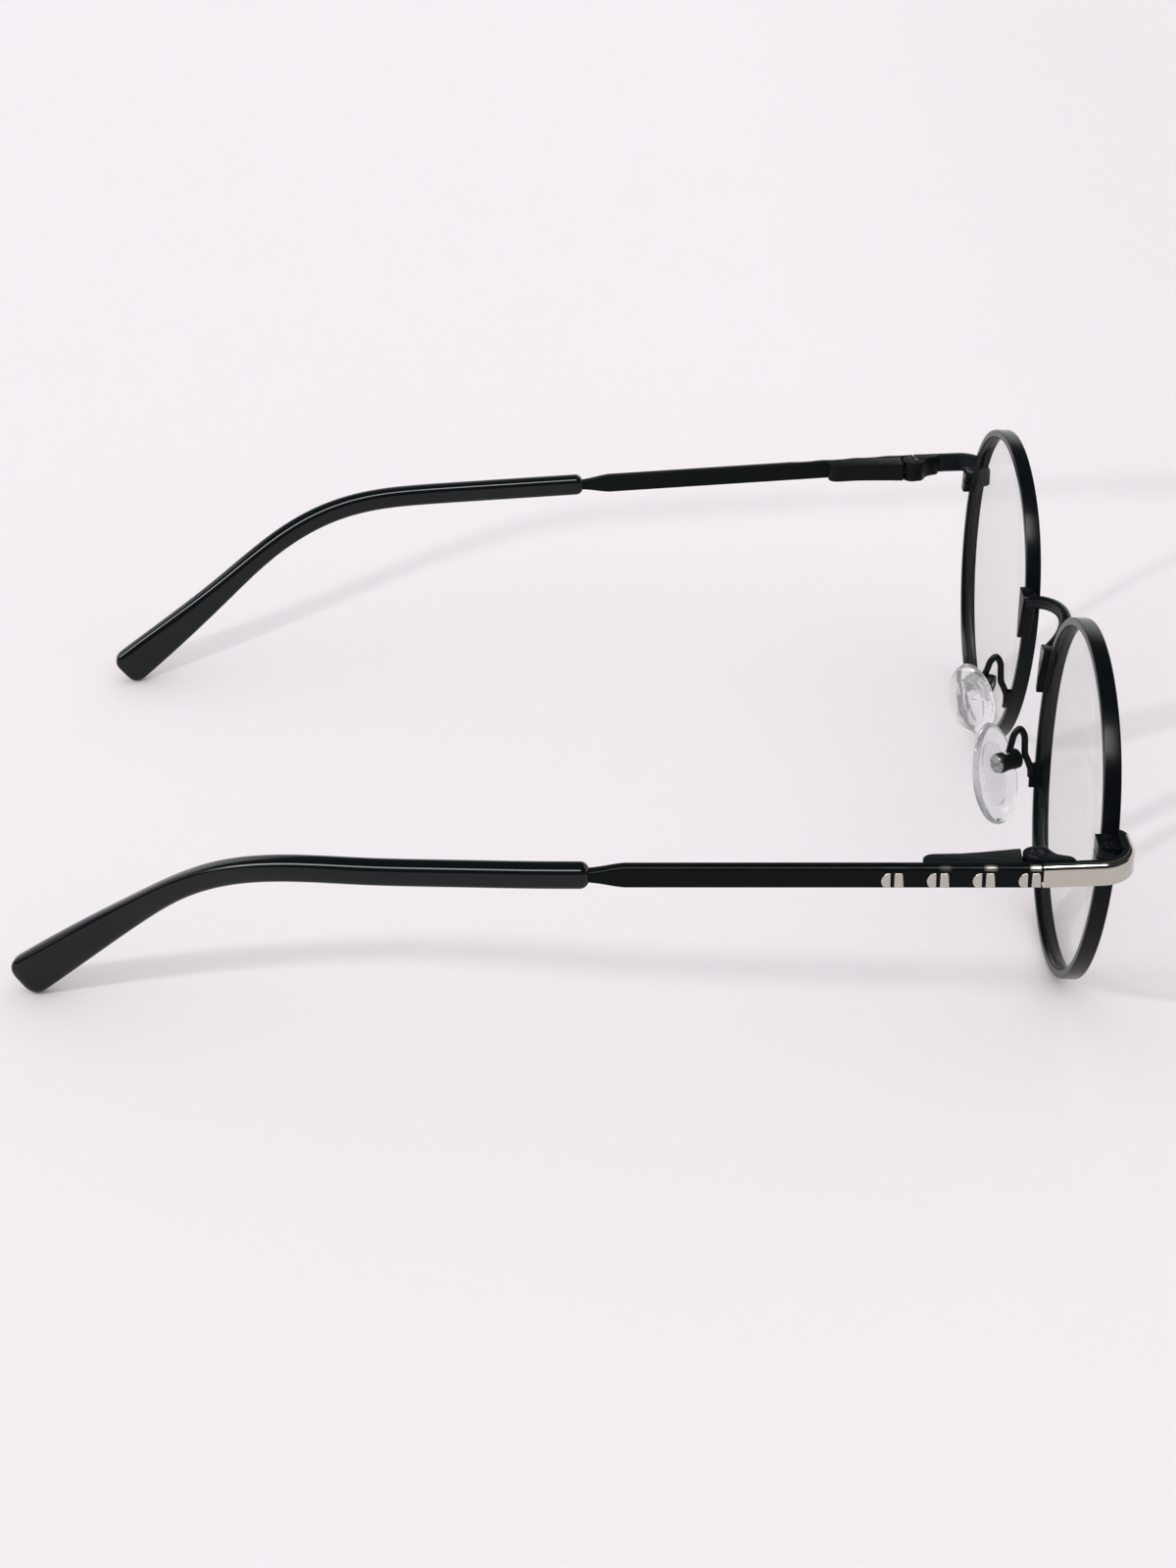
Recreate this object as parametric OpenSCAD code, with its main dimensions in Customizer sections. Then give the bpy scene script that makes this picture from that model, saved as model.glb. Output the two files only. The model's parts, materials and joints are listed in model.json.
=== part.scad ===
// Round metal eyeglasses with spring hinges, standing on the rims and the temple tips.
// X runs to the wearer's left, Y to the back of the head and Z up. Millimetres.
// Left pieces are drawn, and the right ones are their mirror images.

/* [Lenses] */
// Lens width at its widest line
lens_w = 48; // [46:0.5:50]
// How much the upper corner's radius falls short of half the lens width
lens_corner_tight = 4.5; // [4:0.1:4.8]
// How much the lower side's radius exceeds half the lens width
lens_side_flat = 3; // [2.6:0.1:3.2]
// Lens thickness at the centre
lens_t = 1.5; // [1.2:0.1:1.8]
// Radius of the lens's curved faces
lens_curve_r = 130; // [110:5:170]

/* [Rims] */
// Gap between the two lenses
bridge_gap = 19; // [18:0.5:21]
// Rim depth from front to back
rim_depth = 2.2; // [2:0.1:2.6]
// Rim wall outside the lens outline
rim_out = 0.65; // [0.6:0.05:0.8]
// Rim wall inside the lens outline
rim_in = 0.45; // [0.4:0.05:0.5]
// Depth of the lens groove
groove_depth = 0.5; // [0.4:0.05:0.55]
// Chamfer along the rim's edges
rim_edge = 0.18; // [0.1:0.02:0.25]
// Turn of each rim towards the temple
rim_wrap = 1.54; // [0:0.1:4]
// Lean of the rims, bottom to the back
rim_tilt = 1.38; // [0:0.1:4]
// Clearance between a lens and its groove
lens_fit = 0.05; // [0.03:0.01:0.08]

/* [Rim locks] */
// Height of the slit between the lock halves above the rim's centre
lock_up = 7.1; // [6.8:0.1:7.5]
// Slit between the lock halves
lock_slit = 0.2; // [0.15:0.05:0.3]
// Height of both lock halves together
lock_h = 3.4; // [3.2:0.1:3.8]
// Width of the lock outside the rim
lock_w = 2.35; // [2.2:0.05:2.6]
// Front face of the lock, ahead of the rim's middle
lock_front = 1.25; // [1.1:0.05:1.3]
// Back face of the lock, behind the rim's middle
lock_back = 1.95; // [1.85:0.05:2.2]
// Lock screw shank radius
lock_screw_r = 0.5; // [0.4:0.05:0.55]
// Lock screw head radius
lock_head_r = 0.85; // [0.75:0.05:0.9]

/* [Bridge] */
// Diameter of the bridge bar
bar_d = 1.9; // [1.6:0.1:2.1]
// How far the bar bows to the front between its feet
bar_bow = 3.9; // [3.4:0.1:4.4]
// Rise of the bar's bowed plane, in degrees
bar_rise = 24; // [15:1:30]
// Lower end of each foot above the rim's centre
foot_low = 3.3; // [2.8:0.1:3.8]
// Upper end of each foot above the rim's centre
foot_high = 10.3; // [9.8:0.1:10.8]
// Width of a foot at its lower end
foot_w_low = 0.65; // [0.5:0.05:0.9]
// Width by which a foot's upper end passes its lower end
foot_flare = 0.75; // [0.5:0.05:1]
// Back of a foot behind the rim's middle
foot_back = 1.95; // [1.8:0.05:2.1]

/* [Pads] */
// Height of the arm's base below the rim's centre
arm_drop = 7.6; // [7:0.1:8.2]
// Pad arm wire diameter
arm_d = 0.98; // [0.85:0.01:1.1]
// Pad screw place from the arm's base: outwards, back and up
pad_screw_at = [0.75, 4.15, 1.65];
// Turn of a pad's face from straight sideways
pad_splay = 30; // [25:1:35]
// Lean of a pad's top to the nose
pad_lean = 20; // [14:1:24]
// Pad length
pad_l = 15; // [13:0.5:16]
// Pad width
pad_w = 7.6; // [7:0.1:8.4]
// Pad thickness
pad_t = 2.4; // [2.2:0.1:2.7]
// Pad cup barrel radius
cup_r = 1.45; // [1.35:0.05:1.55]
// Pad cup barrel length
cup_l = 3.3; // [3.1:0.1:3.6]
// Width of the pad's boss between the cup's ears
boss_w = 1.4; // [1.2:0.05:1.6]
// Pad screw shank radius
pad_screw_r = 0.4; // [0.35:0.02:0.45]

/* [End pieces] */
// End piece height
end_h = 2.95; // [2.9:0.05:3.1]
// End piece thickness
end_t = 1.4; // [1.35:0.05:1.5]
// Outer radius of the end piece's corner
end_corner_r = 4.6; // [4.2:0.1:4.8]
// Front face of the end piece ahead of the rim's middle
end_front = 1.8; // [1.75:0.05:1.9]
// Distance from the rim's side to the end piece's outer face
end_out = 7.35; // [7.1:0.05:7.6]
// How far the front leg laps over the rim's front
end_lap = 0.85; // [0.6:0.05:1]
// Radius of the front leg's free corner
end_tip_r = 1.2; // [0.8:0.1:1.4]

/* [Hinges] */
// Hinge axis height above the rim's centre
hinge_up = 7.57; // [7.3:0.05:7.8]
// Hinge axis behind the rims' middle
hinge_back = 10.4; // [10:0.1:11]
// Distance from the hinge axis out to the temple's outer face
hinge_in = 3.15; // [3.1:0.05:3.3]
// Knuckle radius
knuckle_r = 1.65; // [1.5:0.05:1.65]
// How far the knuckles stand above and below the blade
knuckle_rise = 0.15; // [0:0.05:0.2]
// Height of the middle knuckle
knuckle_h = 1; // [0.9:0.05:1.1]
// Hinge screw shank radius
hinge_screw_r = 0.6; // [0.5:0.05:0.65]
// Hinge screw head radius
hinge_head_r = 1.02; // [0.9:0.02:1.06]
// Running clearance of hinge parts
hinge_fit = 0.05; // [0.03:0.01:0.08]
// Spring housing front face behind the hinge axis
housing_front = 1.75; // [1.75:0.05:2]
// Spring housing length
housing_l = 12; // [11.5:0.1:12.6]
// How far the temple slides back against the spring
spring_travel = 1.2; // [0.8:0.1:1.4]
// Slider rod radius
rod_r = 0.4; // [0.35:0.01:0.42]
// Spring wire diameter
spring_wire = 0.24; // [0.2:0.01:0.26]

/* [Temples] */
// Length from the hinge to the tip's end, along the temple
temple_l = 139.1; // [132:0.2:146]
// Temple slope to the inside, in degrees
temple_splay = 3.9; // [2:0.1:5]
// Temple slope downwards, in degrees
temple_pitch = 2.9; // [2:0.1:4]
// Blade height
blade_h = 2.85; // [2.7:0.05:2.9]
// Blade thickness
blade_t = 1.35; // [1.3:0.05:1.45]
// Radius of the shoulder along the top of the outer face
shoulder_r = 0.5; // [0.4:0.05:0.6]
// Gap between the temple's end and the end piece
butt_gap = 0.06; // [0.04:0.01:0.1]
// Behind the hinge, where the blade starts to narrow
neck_start = 49.8; // [47:0.2:51]
// Length of the narrowing neck
neck_l = 4.6; // [4:0.1:5.5]
// Core wire radius
core_r = 0.65; // [0.6:0.05:0.7]
// Core wire length inside the tip
core_l = 22; // [16:0.5:24]

/* [Bands] */
// Distance from one pair of bands to the next
band_pitch = 5.5; // [5.3:0.05:5.8]
// Width of one band
band_w = 1.15; // [1:0.05:1.25]
// Height of a band up the blade's outer face
band_h = 1.95; // [1.8:0.05:2.1]
// Height of a band's foot above the blade's lower edge
band_foot = 0.1; // [0.05:0.05:0.2]
// Gap between the bands of a pair
band_gap = 0.44; // [0.34:0.02:0.5]
// How deep a band sits in the blade
band_sunk = 0.25; // [0.15:0.05:0.3]
// How far a band stands proud of the blade
band_proud = 0.1; // [0.05:0.01:0.15]

/* [Tips] */
// Tip height along its straight part
tip_h = 3.05; // [2.9:0.05:3.2]
// Tip thickness
tip_t = 2.9; // [2.7:0.05:3.1]
// Tip height at its wide end
tip_wide = 6.3; // [5.5:0.1:7]
// Where the bend down starts, from the hinge
bend_start = 81.8; // [78:0.2:86]
// Length of the bend down
bend_l = 35; // [30:0.5:40]
// Bend down, in degrees
bend_down = 35.4; // [32:0.1:38]
// Turn inwards, in degrees
toe_in = 17.5; // [14:0.5:20]
// Where the turn inwards starts, from the hinge
toe_start = 74.8; // [72:0.2:78]
// Turn back outwards near the end, in degrees
toe_out = 13; // [8:0.5:14]
// Where the turn back outwards starts, from the hinge
toe_back = 106.3; // [103:0.1:110]
// Length of each of the two turns
toe_l = 29; // [26:0.5:32]
// Where the tip starts to widen, from the hinge
flare_start = 106.3; // [100:0.1:112]
// Length over which the tip's front end is rounded
tip_nose_l = 1.3; // [1:0.1:1.8]
// Length over which the tip's rear end is rounded
tip_end_l = 2.6; // [2:0.1:3.2]

/* [Hidden] */
fine = 96;

// Lens outline: four radii on each side, tangent where they meet
half_w = lens_w / 2;
corner_r = half_w - lens_corner_tight;
side_r = half_w + lens_side_flat;
top_a = 30;
side_a = acos(0.8);
top_r = corner_r + lens_corner_tight / 0.5;
bottom_r = side_r - lens_side_flat / 0.8;
top_y = top_r - lens_corner_tight / tan(top_a);
bottom_y = -0.6 * lens_side_flat / 0.8 - bottom_r;
widest_y = round(-50 * (top_y + bottom_y)) / 100;
// Arcs: centre x, centre y, radius, start angle, sweep
lens_arcs = [
    [lens_corner_tight, widest_y, corner_r, 0, 90 - top_a],
    [0, widest_y + top_y - top_r, top_r, 90 - top_a, 2 * top_a],
    [-lens_corner_tight, widest_y, corner_r, 90 + top_a, 90 - top_a],
    [lens_side_flat, widest_y, side_r, 180, side_a],
    [0, widest_y + bottom_y + bottom_r, bottom_r, 180 + side_a, 180 - 2 * side_a],
    [-lens_side_flat, widest_y, side_r, 360 - side_a, side_a]];
arc_steps = [9, 9, 9, 6, 15, 6];
function outline(inset) = [for (k = [0:5]) for (i = [0:arc_steps[k] - 1])
    let (c = lens_arcs[k], a = c[3] + c[4] * i / arc_steps[k])
    [c[0] + (c[2] - inset) * cos(a), c[1] + (c[2] - inset) * sin(a)]];

// Places in the rims' frame, whose origin is midway between the rim centres
rim_x = (lens_w + bridge_gap) / 2;
rim_side_x = rim_x + half_w + rim_out;
hinge_x = rim_side_x + end_out - hinge_in;
hinge_at = [hinge_x, hinge_back, hinge_up];
function turn_x(p, a) = [p[0], p[1] * cos(a) - p[2] * sin(a), p[1] * sin(a) + p[2] * cos(a)];
function turn_z(p, a) = [p[0] * cos(a) - p[1] * sin(a), p[0] * sin(a) + p[1] * cos(a), p[2]];
function rim_point(x, up, ahead) = [rim_x, 0, 0] + turn_z(turn_x([x, -ahead, up], rim_tilt), rim_wrap);
function temple_point(p) = hinge_at + turn_z(turn_x(p, -temple_pitch), temple_splay);

// Temple tip: direction and place along its length, from the hinge
blade_u = hinge_in - blade_t / 2;
tip_from = neck_start + neck_l;
tip_step = 0.9;
tip_steps = round((temple_l - tip_from) / tip_step);
tip_ds = (temple_l - tip_from) / tip_steps;
// Small turns of the straight part behind the neck, and the length over which they come
straight_dip = -0.5;
straight_toe = 1.2;
settle_l = 12;
function smooth(t) = let (c = min(1, max(0, t))) c * c * (3 - 2 * c);
function tip_dip(s) = straight_dip * smooth((s - tip_from) / settle_l)
    + (bend_down - straight_dip) * smooth((s - bend_start) / bend_l);
function tip_toe(s) = straight_toe * smooth((s - tip_from) / settle_l)
    + toe_in * smooth((s - toe_start) / toe_l) - toe_out * smooth((s - toe_back) / toe_l);
function tip_along(s) = let (d = tip_dip(s), t = tip_toe(s))
    [-sin(t) * cos(d), cos(t) * cos(d), -sin(d)];
function tip_up(s) = let (d = tip_dip(s), t = tip_toe(s)) [-sin(t) * sin(d), cos(t) * sin(d), cos(d)];
function tip_side(s) = let (t = tip_toe(s)) [cos(t), sin(t), 0];
tip_line = [for (i = 0, p = [blade_u, tip_from, 0]; i <= tip_steps;
    i = i + 1, p = p + tip_ds * tip_along(tip_from + tip_ds * (i - 0.5))) p];
// Shares of the end lengths at which the first and last rings stand, so that the ends stay flat inside
nose_flat = 0.2;
end_flat = 0.13;
function tip_round(s) = let (a = min(1, nose_flat + (s - tip_from) / tip_nose_l),
        b = min(1, end_flat + (temple_l - s) / tip_end_l))
    sqrt(1 - pow(1 - a, 2)) * sqrt(1 - 0.8 * pow(1 - b, 4));
// The height still grows a little at the end
flare_l = temple_l - flare_start + 1.5 * tip_end_l;
function tip_height(s) = tip_h + (tip_wide - tip_h) * smooth((s - flare_start) / flare_l);
function swell(c, power) = sign(c) * pow(abs(c), 2 / power);
function squircle(w, h, power, count) = [for (i = [0:count - 1]) let (a = 360 * i / count)
    [w / 2 * swell(cos(a), power), h / 2 * swell(sin(a), power)]];
tip_rings = [for (i = concat([0, 1, 2], [for (k = [4:3:tip_steps - 3]) k],
        [tip_steps - 2, tip_steps - 1, tip_steps]))
    let (s = tip_from + tip_ds * i, f = tip_round(s))
    [for (q = squircle(tip_t * f, tip_height(s) * f, 3.4, 18))
        temple_point(tip_line[i] + q[0] * tip_side(s) + q[1] * tip_up(s))]];

// The part's box: bridge in front, tips behind, rims and tips on the table
foot_at = rim_point(-half_w - rim_out - foot_w_low - foot_flare / 2, foot_high - bar_d / 2, -foot_back / 2);
bar_half = foot_at[0] + 0.2;
bar_r = (bar_half * bar_half + bar_bow * bar_bow) / (2 * bar_bow);
front_y = foot_at[1] - bar_bow * cos(bar_rise) - bar_d / 2;
back_y = max([for (ring = tip_rings) for (p = ring) p[1]]);
tip_low = min([for (ring = tip_rings) for (p = ring) p[2]]);
rim_low = rim_point(0, -(top_y - bottom_y) / 2 - rim_out, -rim_depth / 2)[2];
stand = [0, -(front_y + back_y) / 2, -min(tip_low, rim_low)];

module side(s) {
    translate(stand) mirror([s < 0 ? 1 : 0, 0, 0]) children();
}

module rim_frame() {
    translate([rim_x, 0, 0]) rotate([0, 0, rim_wrap]) rotate([90 + rim_tilt, 0, 0]) children();
}

module end_frame() {
    translate(hinge_at) rotate([-temple_pitch, 0, 0]) children();
}

module temple_frame() {
    translate(hinge_at) rotate([0, 0, temple_splay]) rotate([-temple_pitch, 0, 0]) children();
}

// Closed solid through rings of equal point counts; the ends are one face each or the faces given
module loft(rings, end_faces = []) {
    n = len(rings[0]);
    m = len(rings);
    walls = [for (j = [0:m - 2]) for (i = [0:n - 1]) let (k = (i + 1) % n) each [
        [j * n + i, (j + 1) * n + i, j * n + k],
        [j * n + k, (j + 1) * n + i, (j + 1) * n + k]]];
    caps = len(end_faces) > 0 ? end_faces : [[for (i = [0:n - 1]) i]];
    ends = concat(caps, [for (c = caps) [for (i = [len(c) - 1:-1:0]) (m - 1) * n + c[i]]]);
    polyhedron([for (ring = rings) each ring], concat(walls, ends));
}

// Rims

// Section of a rim, x measured from the lens outline outwards, with the lens groove inside
rim_half = rim_depth / 2;
flat_half = rim_half - rim_edge;
rim_section = [[-rim_in, -flat_half], [-rim_in, -groove_depth], [groove_depth - rim_in, 0],
    [-rim_in, groove_depth], [-rim_in, flat_half], [rim_edge - rim_in, rim_half],
    [rim_out - rim_edge, rim_half], [rim_out, flat_half], [rim_out, -flat_half],
    [rim_out - rim_edge, -rim_half], [rim_edge - rim_in, -rim_half]];
slit_a = asin((lock_up - widest_y) / corner_r);
slit_half = asin(lock_slit / 2 / corner_r);
// From the lock's slit all the way round: arc, start angle, sweep, steps
rim_runs = [[0, slit_a + slit_half, 90 - top_a - slit_a - slit_half, 8], [1, 90 - top_a, 2 * top_a, 14],
    [2, 90 + top_a, 90 - top_a, 12], [3, 180, side_a, 8], [4, 180 + side_a, 180 - 2 * side_a, 20],
    [5, 360 - side_a, side_a, 8], [0, 0, slit_a - slit_half, 4]];
function rim_ring(c, a) = [for (q = rim_section)
    [c[0] + (c[2] + q[0]) * cos(a), c[1] + (c[2] + q[0]) * sin(a), q[1]]];

module rim(s) {
    rings = [for (run = rim_runs) for (i = [0:run[3] - 1])
        rim_ring(lens_arcs[run[0]], run[1] + run[2] * i / run[3])];
    color("#1b1c1e") side(s) rim_frame()
        loft(concat(rings, [rim_ring(lens_arcs[0], slit_a - slit_half)]),
            [[2, 3, 4, 5, 6, 7], [2, 7, 8], [2, 8, 9, 10, 0, 1]]);
}

// Lens with a bevelled edge that sits in the rim's groove

function sag(r) = lens_curve_r - sqrt(lens_curve_r * lens_curve_r - r * r);
function lens_face(inset, offset) = [for (p = outline(inset))
    [p[0], p[1], offset + sag(half_w - 1) - sag(min(half_w - 1, norm(p)))]];

module lens(s) {
    wall = rim_in + lens_fit;
    cap = half_w - 4.5;
    half_t = lens_t / 2;
    bevel = groove_depth - lens_fit;
    cap_lift = sag(half_w - 1) - sag(4);
    color("#dfe3ea") side(s) rim_frame() loft([
        [for (p = outline(cap)) [p[0], p[1], cap_lift - half_t]],
        lens_face(10, -half_t),
        lens_face(wall, -half_t),
        [for (p = outline(wall)) [p[0], p[1], -bevel]],
        [for (p = outline(lens_fit)) [p[0], p[1], 0]],
        [for (p = outline(wall)) [p[0], p[1], bevel]],
        lens_face(wall, half_t),
        lens_face(10, half_t),
        [for (p = outline(cap)) [p[0], p[1], cap_lift + half_t]]]);
}

// Rim lock: two blocks brazed to the rim's ends on either side of the slit

lock_screw_x = half_w + rim_out + lock_w / 2 + 0.1;
lock_screw_z = 0.5 - lock_back / 2;
head_sunk = 0.55;
// Radius of the lock's back corner and size of its front chamfer
lock_round = 0.9;
lock_edge = 0.5;

module lock_outline() {
    near = half_w - 1.5;
    far = half_w + rim_out + lock_w;
    polygon(concat([[near, -lock_back], [near, lock_front], [far - lock_edge, lock_front],
        [far, lock_front - lock_edge]], [for (a = [0:15:90])
            [far - lock_round * (1 - cos(a)), -lock_back + lock_round * (1 - sin(a))]]));
}

// Disc as wide as the rim where its upper corner turns, to cut what lies against the wire
module rim_corner(s, h) {
    translate([s * lens_corner_tight, widest_y, -h / 2]) cylinder(h = h, r = corner_r + rim_out, $fn = fine);
}

module lock_half(low, high) {
    translate([0, high, 0]) rotate([90, 0, 0]) linear_extrude(high - low) lock_outline();
}

module rim_lock(s) {
    low = lock_up - lock_h / 2;
    high = lock_up + lock_h / 2;
    color("#1b1c1e") side(s) difference() {
        rim_frame() difference() {
            union() {
                lock_half(low, lock_up - lock_slit / 2);
                lock_half(lock_up + lock_slit / 2, high);
            }
            rim_corner(1, 8);
            translate([lock_screw_x, low - 1, lock_screw_z]) rotate([-90, 0, 0])
                cylinder(h = lock_h + 2, r = lock_screw_r + hinge_fit, $fn = 32);
            translate([lock_screw_x, high - head_sunk, lock_screw_z]) rotate([-90, 0, 0])
                cylinder(h = 2, r = lock_head_r + hinge_fit, $fn = 32);
        }
        end_frame() end_leg_space();
    }
}

module slotted_head(r, h, slot) {
    difference() {
        cylinder(h = h, r = r, $fn = 32);
        translate([-r - 1, -slot / 2, h * 0.55]) cube([2 * r + 2, slot, h]);
    }
}

module rim_lock_screws() {
    high = lock_up + lock_h / 2;
    color("#8d8f93") for (s = [1, -1]) side(s) rim_frame()
        translate([lock_screw_x, high - head_sunk, lock_screw_z]) rotate([-90, 0, 0]) {
            slotted_head(lock_head_r, head_sunk - 0.05, 0.22);
            translate([0, 0, head_sunk - lock_h])
                cylinder(h = lock_h - head_sunk, r = lock_screw_r, $fn = 32);
        }
}

// Bridge: a bowed bar whose feet are brazed along the rims' nasal sides

foot_front = 0.1;
foot_edge = 0.3;

module bridge_foot() {
    wire = -half_w - rim_out;
    low_x = wire - foot_w_low;
    high_x = low_x - foot_flare;
    inside = wire + 3.5;
    difference() {
        translate([0, 0, -foot_back]) linear_extrude(foot_back - foot_front)
            polygon([[low_x, foot_low + foot_edge], [low_x + foot_edge, foot_low], [inside, foot_low],
                [inside, foot_high], [high_x + foot_edge, foot_high], [high_x, foot_high - foot_edge]]);
        rim_corner(-1, 8);
    }
}

module bridge() {
    reach = asin(bar_half / bar_r);
    color("#1b1c1e") union() {
        for (s = [1, -1]) side(s) rim_frame() bridge_foot();
        translate(stand) translate([0, foot_at[1], foot_at[2]]) rotate([-bar_rise, 0, 0])
            translate([0, bar_r - bar_bow, 0]) rotate([0, 0, -90 - reach])
                rotate_extrude(angle = 2 * reach, $fn = fine) translate([bar_r, 0])
                    circle(d = bar_d, $fn = 32);
    }
}

// Pad arm: gooseneck wire on a base plate on the rim's back

arm_root_x = lens_side_flat - side_r * cos(asin((arm_drop + widest_y) / side_r));
arm_root = rim_point(arm_root_x, -arm_drop, -rim_half);
pad_screw = arm_root + pad_screw_at;
// Wire points from the arm's base: outwards, back and up
arm_route = [[0.1, 0.5, -1.2], [0, 0.62, 0], [-0.1, 1.1, 1.2], [-0.12, 1.6, 2.3], [-0.12, 1.78, 3.8],
    [-0.12, 1.98, 5.3], [-0.1, 2.7, 6.3], [0, 3.45, 5.5], [0.2, 3.75, 4.2], [0.6, 4.05, 2.9]];
function spline(p, i, t) = let (a = p[max(0, i - 1)], b = p[i], c = p[i + 1],
        d = p[min(len(p) - 1, i + 2)])
    0.5 * (2 * b + (c - a) * t + (2 * a - 5 * b + 4 * c - d) * t * t
        + (3 * b - a - 3 * c + d) * t * t * t);
arm_line = concat([for (i = [0:len(arm_route) - 2]) for (t = [0, 1 / 3, 2 / 3])
    spline(arm_route, i, t)], [arm_route[len(arm_route) - 1]]);
function unit(v) = v / norm(v);

module pad_arm(s) {
    n = len(arm_line);
    rings = [for (i = [0:n - 1])
        let (d = unit(arm_line[min(n - 1, i + 1)] - arm_line[max(0, i - 1)]),
            x = unit(cross(d, cross([1, 0, 0], d))), y = cross(d, x))
        [for (a = [0:36:324]) arm_root + arm_line[i] + arm_d / 2 * (cos(a) * x + sin(a) * y)]];
    base_a = 180 + asin((arm_drop + widest_y) / side_r);
    base_t = 0.75;
    base_w = rim_in + rim_out - 2 * rim_edge;
    base_above = 1.8;
    base_sweep = 7.5;
    color("#1b1c1e") side(s) difference() {
        union() {
            loft(rings);
            rim_frame() translate([lens_side_flat, widest_y, -rim_half - base_t])
                rotate([0, 0, base_a - base_above]) rotate_extrude(angle = base_sweep, $fn = fine)
                    translate([side_r - rim_in + rim_edge, 0]) square([base_w, base_t]);
        }
        pad_frame() cylinder_y(cup_r, cup_l, 0, 40);
        rim_frame() translate([-half_w - 3, -half_w, -rim_half]) cube([8, half_w, rim_depth]);
    }
}

// Pad cup: a barrel across the pad with a slot for the pad's boss and a screw through it

module pad_frame() {
    translate(pad_screw) rotate([0, 0, -pad_splay]) rotate([0, -pad_lean, 0]) children();
}

module cylinder_y(r, length, from, sides) {
    translate([0, from - length / 2, 0]) rotate([-90, 0, 0]) cylinder(h = length, r = r, $fn = sides);
}

boss_x = 0.75;

module pad_cup(s) {
    slot = boss_w + 2 * hinge_fit;
    color("#1b1c1e") side(s) pad_frame() difference() {
        cylinder_y(cup_r, cup_l, 0, 40);
        translate([-cup_r - 1, -slot / 2, -cup_r - 1])
            cube([cup_r + 1 + boss_x + hinge_fit, slot, 2 * cup_r + 2]);
        cylinder_y(pad_screw_r + hinge_fit, cup_l + 1, 0, 32);
    }
}

pad_head_r = 1.3;
pad_head_h = 0.5;

module pad_screws() {
    color("#a9abae") for (s = [1, -1]) side(s) pad_frame() {
        cylinder_y(pad_screw_r, cup_l, 0, 32);
        translate([0, cup_l / 2, 0]) rotate([-90, 0, 0]) slotted_head(pad_head_r, pad_head_h, 0.3);
    }
}

// Pad: a clear cushion with a flat back, moulded round its core

pad_gap = 0.3;
pad_centre = [-cup_r - pad_gap - pad_t / 2, 0.9, -1.9];
core_plate_t = 0.7;
function pad_edge(f, x) = [for (i = [0:27]) let (a = 360 * i / 28)
    pad_centre + [x, f * pad_w / 2 * cos(a) * (1 - 0.12 * sin(a)), f * pad_l / 2 * sin(a)]];

module core_plate() {
    translate(pad_centre + [pad_t / 2 - 1.25, 0, 0]) rotate([0, 90, 0])
        linear_extrude(core_plate_t) polygon(squircle(pad_l * 0.62, pad_w * 0.5, 2.6, 28));
}

module core_boss() {
    difference() {
        union() {
            translate([pad_centre[0], -boss_w / 2, -0.95]) cube([-pad_centre[0], boss_w, 1.9]);
            cylinder_y(boss_x, boss_w, 0, 32);
        }
        cylinder_y(pad_screw_r + hinge_fit, boss_w + 1, 0, 32);
    }
}

module pad_core(s) {
    color("#c9ccd1") side(s) pad_frame() union() {
        core_plate();
        core_boss();
    }
}

module nose_pad(s) {
    h = pad_t / 2;
    color("#e6e7ea") side(s) pad_frame() difference() {
        loft([pad_edge(0.8, h), pad_edge(0.93, h - 0.12), pad_edge(1, h - 0.6), pad_edge(0.97, -h + 0.9),
            pad_edge(0.84, -h + 0.32), pad_edge(0.5, -h + 0.05), pad_edge(0.25, -h)]);
        core_plate();
        translate([pad_centre[0], -boss_w / 2, -0.95]) cube([4, boss_w, 1.9]);
    }
}

// End piece: from the lock's front round the corner to the hinge

module shoulder_profile(t, h) {
    c = 0.12;
    polygon(concat([[0, c - h / 2], [c, -h / 2], [t - c, -h / 2], [t, c - h / 2]],
        [for (a = [0:15:90]) [t, h / 2] - shoulder_r * [1 - cos(a), 1 - sin(a)]],
        [[c, h / 2], [0, h / 2 - c]]));
}

end_back = -0.45;
corner_at = [hinge_in - end_corner_r, end_corner_r - end_front - hinge_back, 0];
end_leg_l = corner_at[0] + hinge_x - rim_side_x + end_lap;

module end_leg_space() {
    translate([corner_at[0] - end_leg_l, -end_front - hinge_back - 1, -end_h])
        cube([end_leg_l + end_corner_r, end_t + 1, 2 * end_h]);
}

// What lies outside a quarter round, to take off the front leg's free corner
module corner_waste(r, h) {
    translate([0, 0, -h]) difference() {
        translate([-r - 1, -r - 1, 0]) cube([r + 1, r + 1, 2 * h]);
        translate([0, 0, -1]) cylinder(h = 2 * h + 2, r = r, $fn = 48);
    }
}

module end_piece(s) {
    inner_r = end_corner_r - end_t;
    color("#b2ada7") side(s) difference() {
        end_frame() difference() {
            union() {
                translate([corner_at[0] + inner_r, end_back, 0]) rotate([90, 0, 0])
                    linear_extrude(end_back - corner_at[1]) shoulder_profile(end_t, end_h);
                translate(corner_at) rotate([0, 0, -90]) {
                    rotate_extrude(angle = 90, $fn = fine)
                        translate([inner_r, 0]) shoulder_profile(end_t, end_h);
                    translate([inner_r, 0, 0]) rotate([90, 0, 0])
                        linear_extrude(end_leg_l) shoulder_profile(end_t, end_h);
                }
            }
            translate([corner_at[0] - end_leg_l + end_tip_r, end_tip_r - end_front - hinge_back, 0])
                corner_waste(end_tip_r, end_h);
        }
        rim_frame() rim_corner(1, rim_depth);
    }
}

// Hinge: a leaf with two knuckles on the end piece, and a sprung slider with one in the temple

knuckle_top = blade_h / 2 + knuckle_rise;
leaf_x = hinge_in - end_t;
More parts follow.
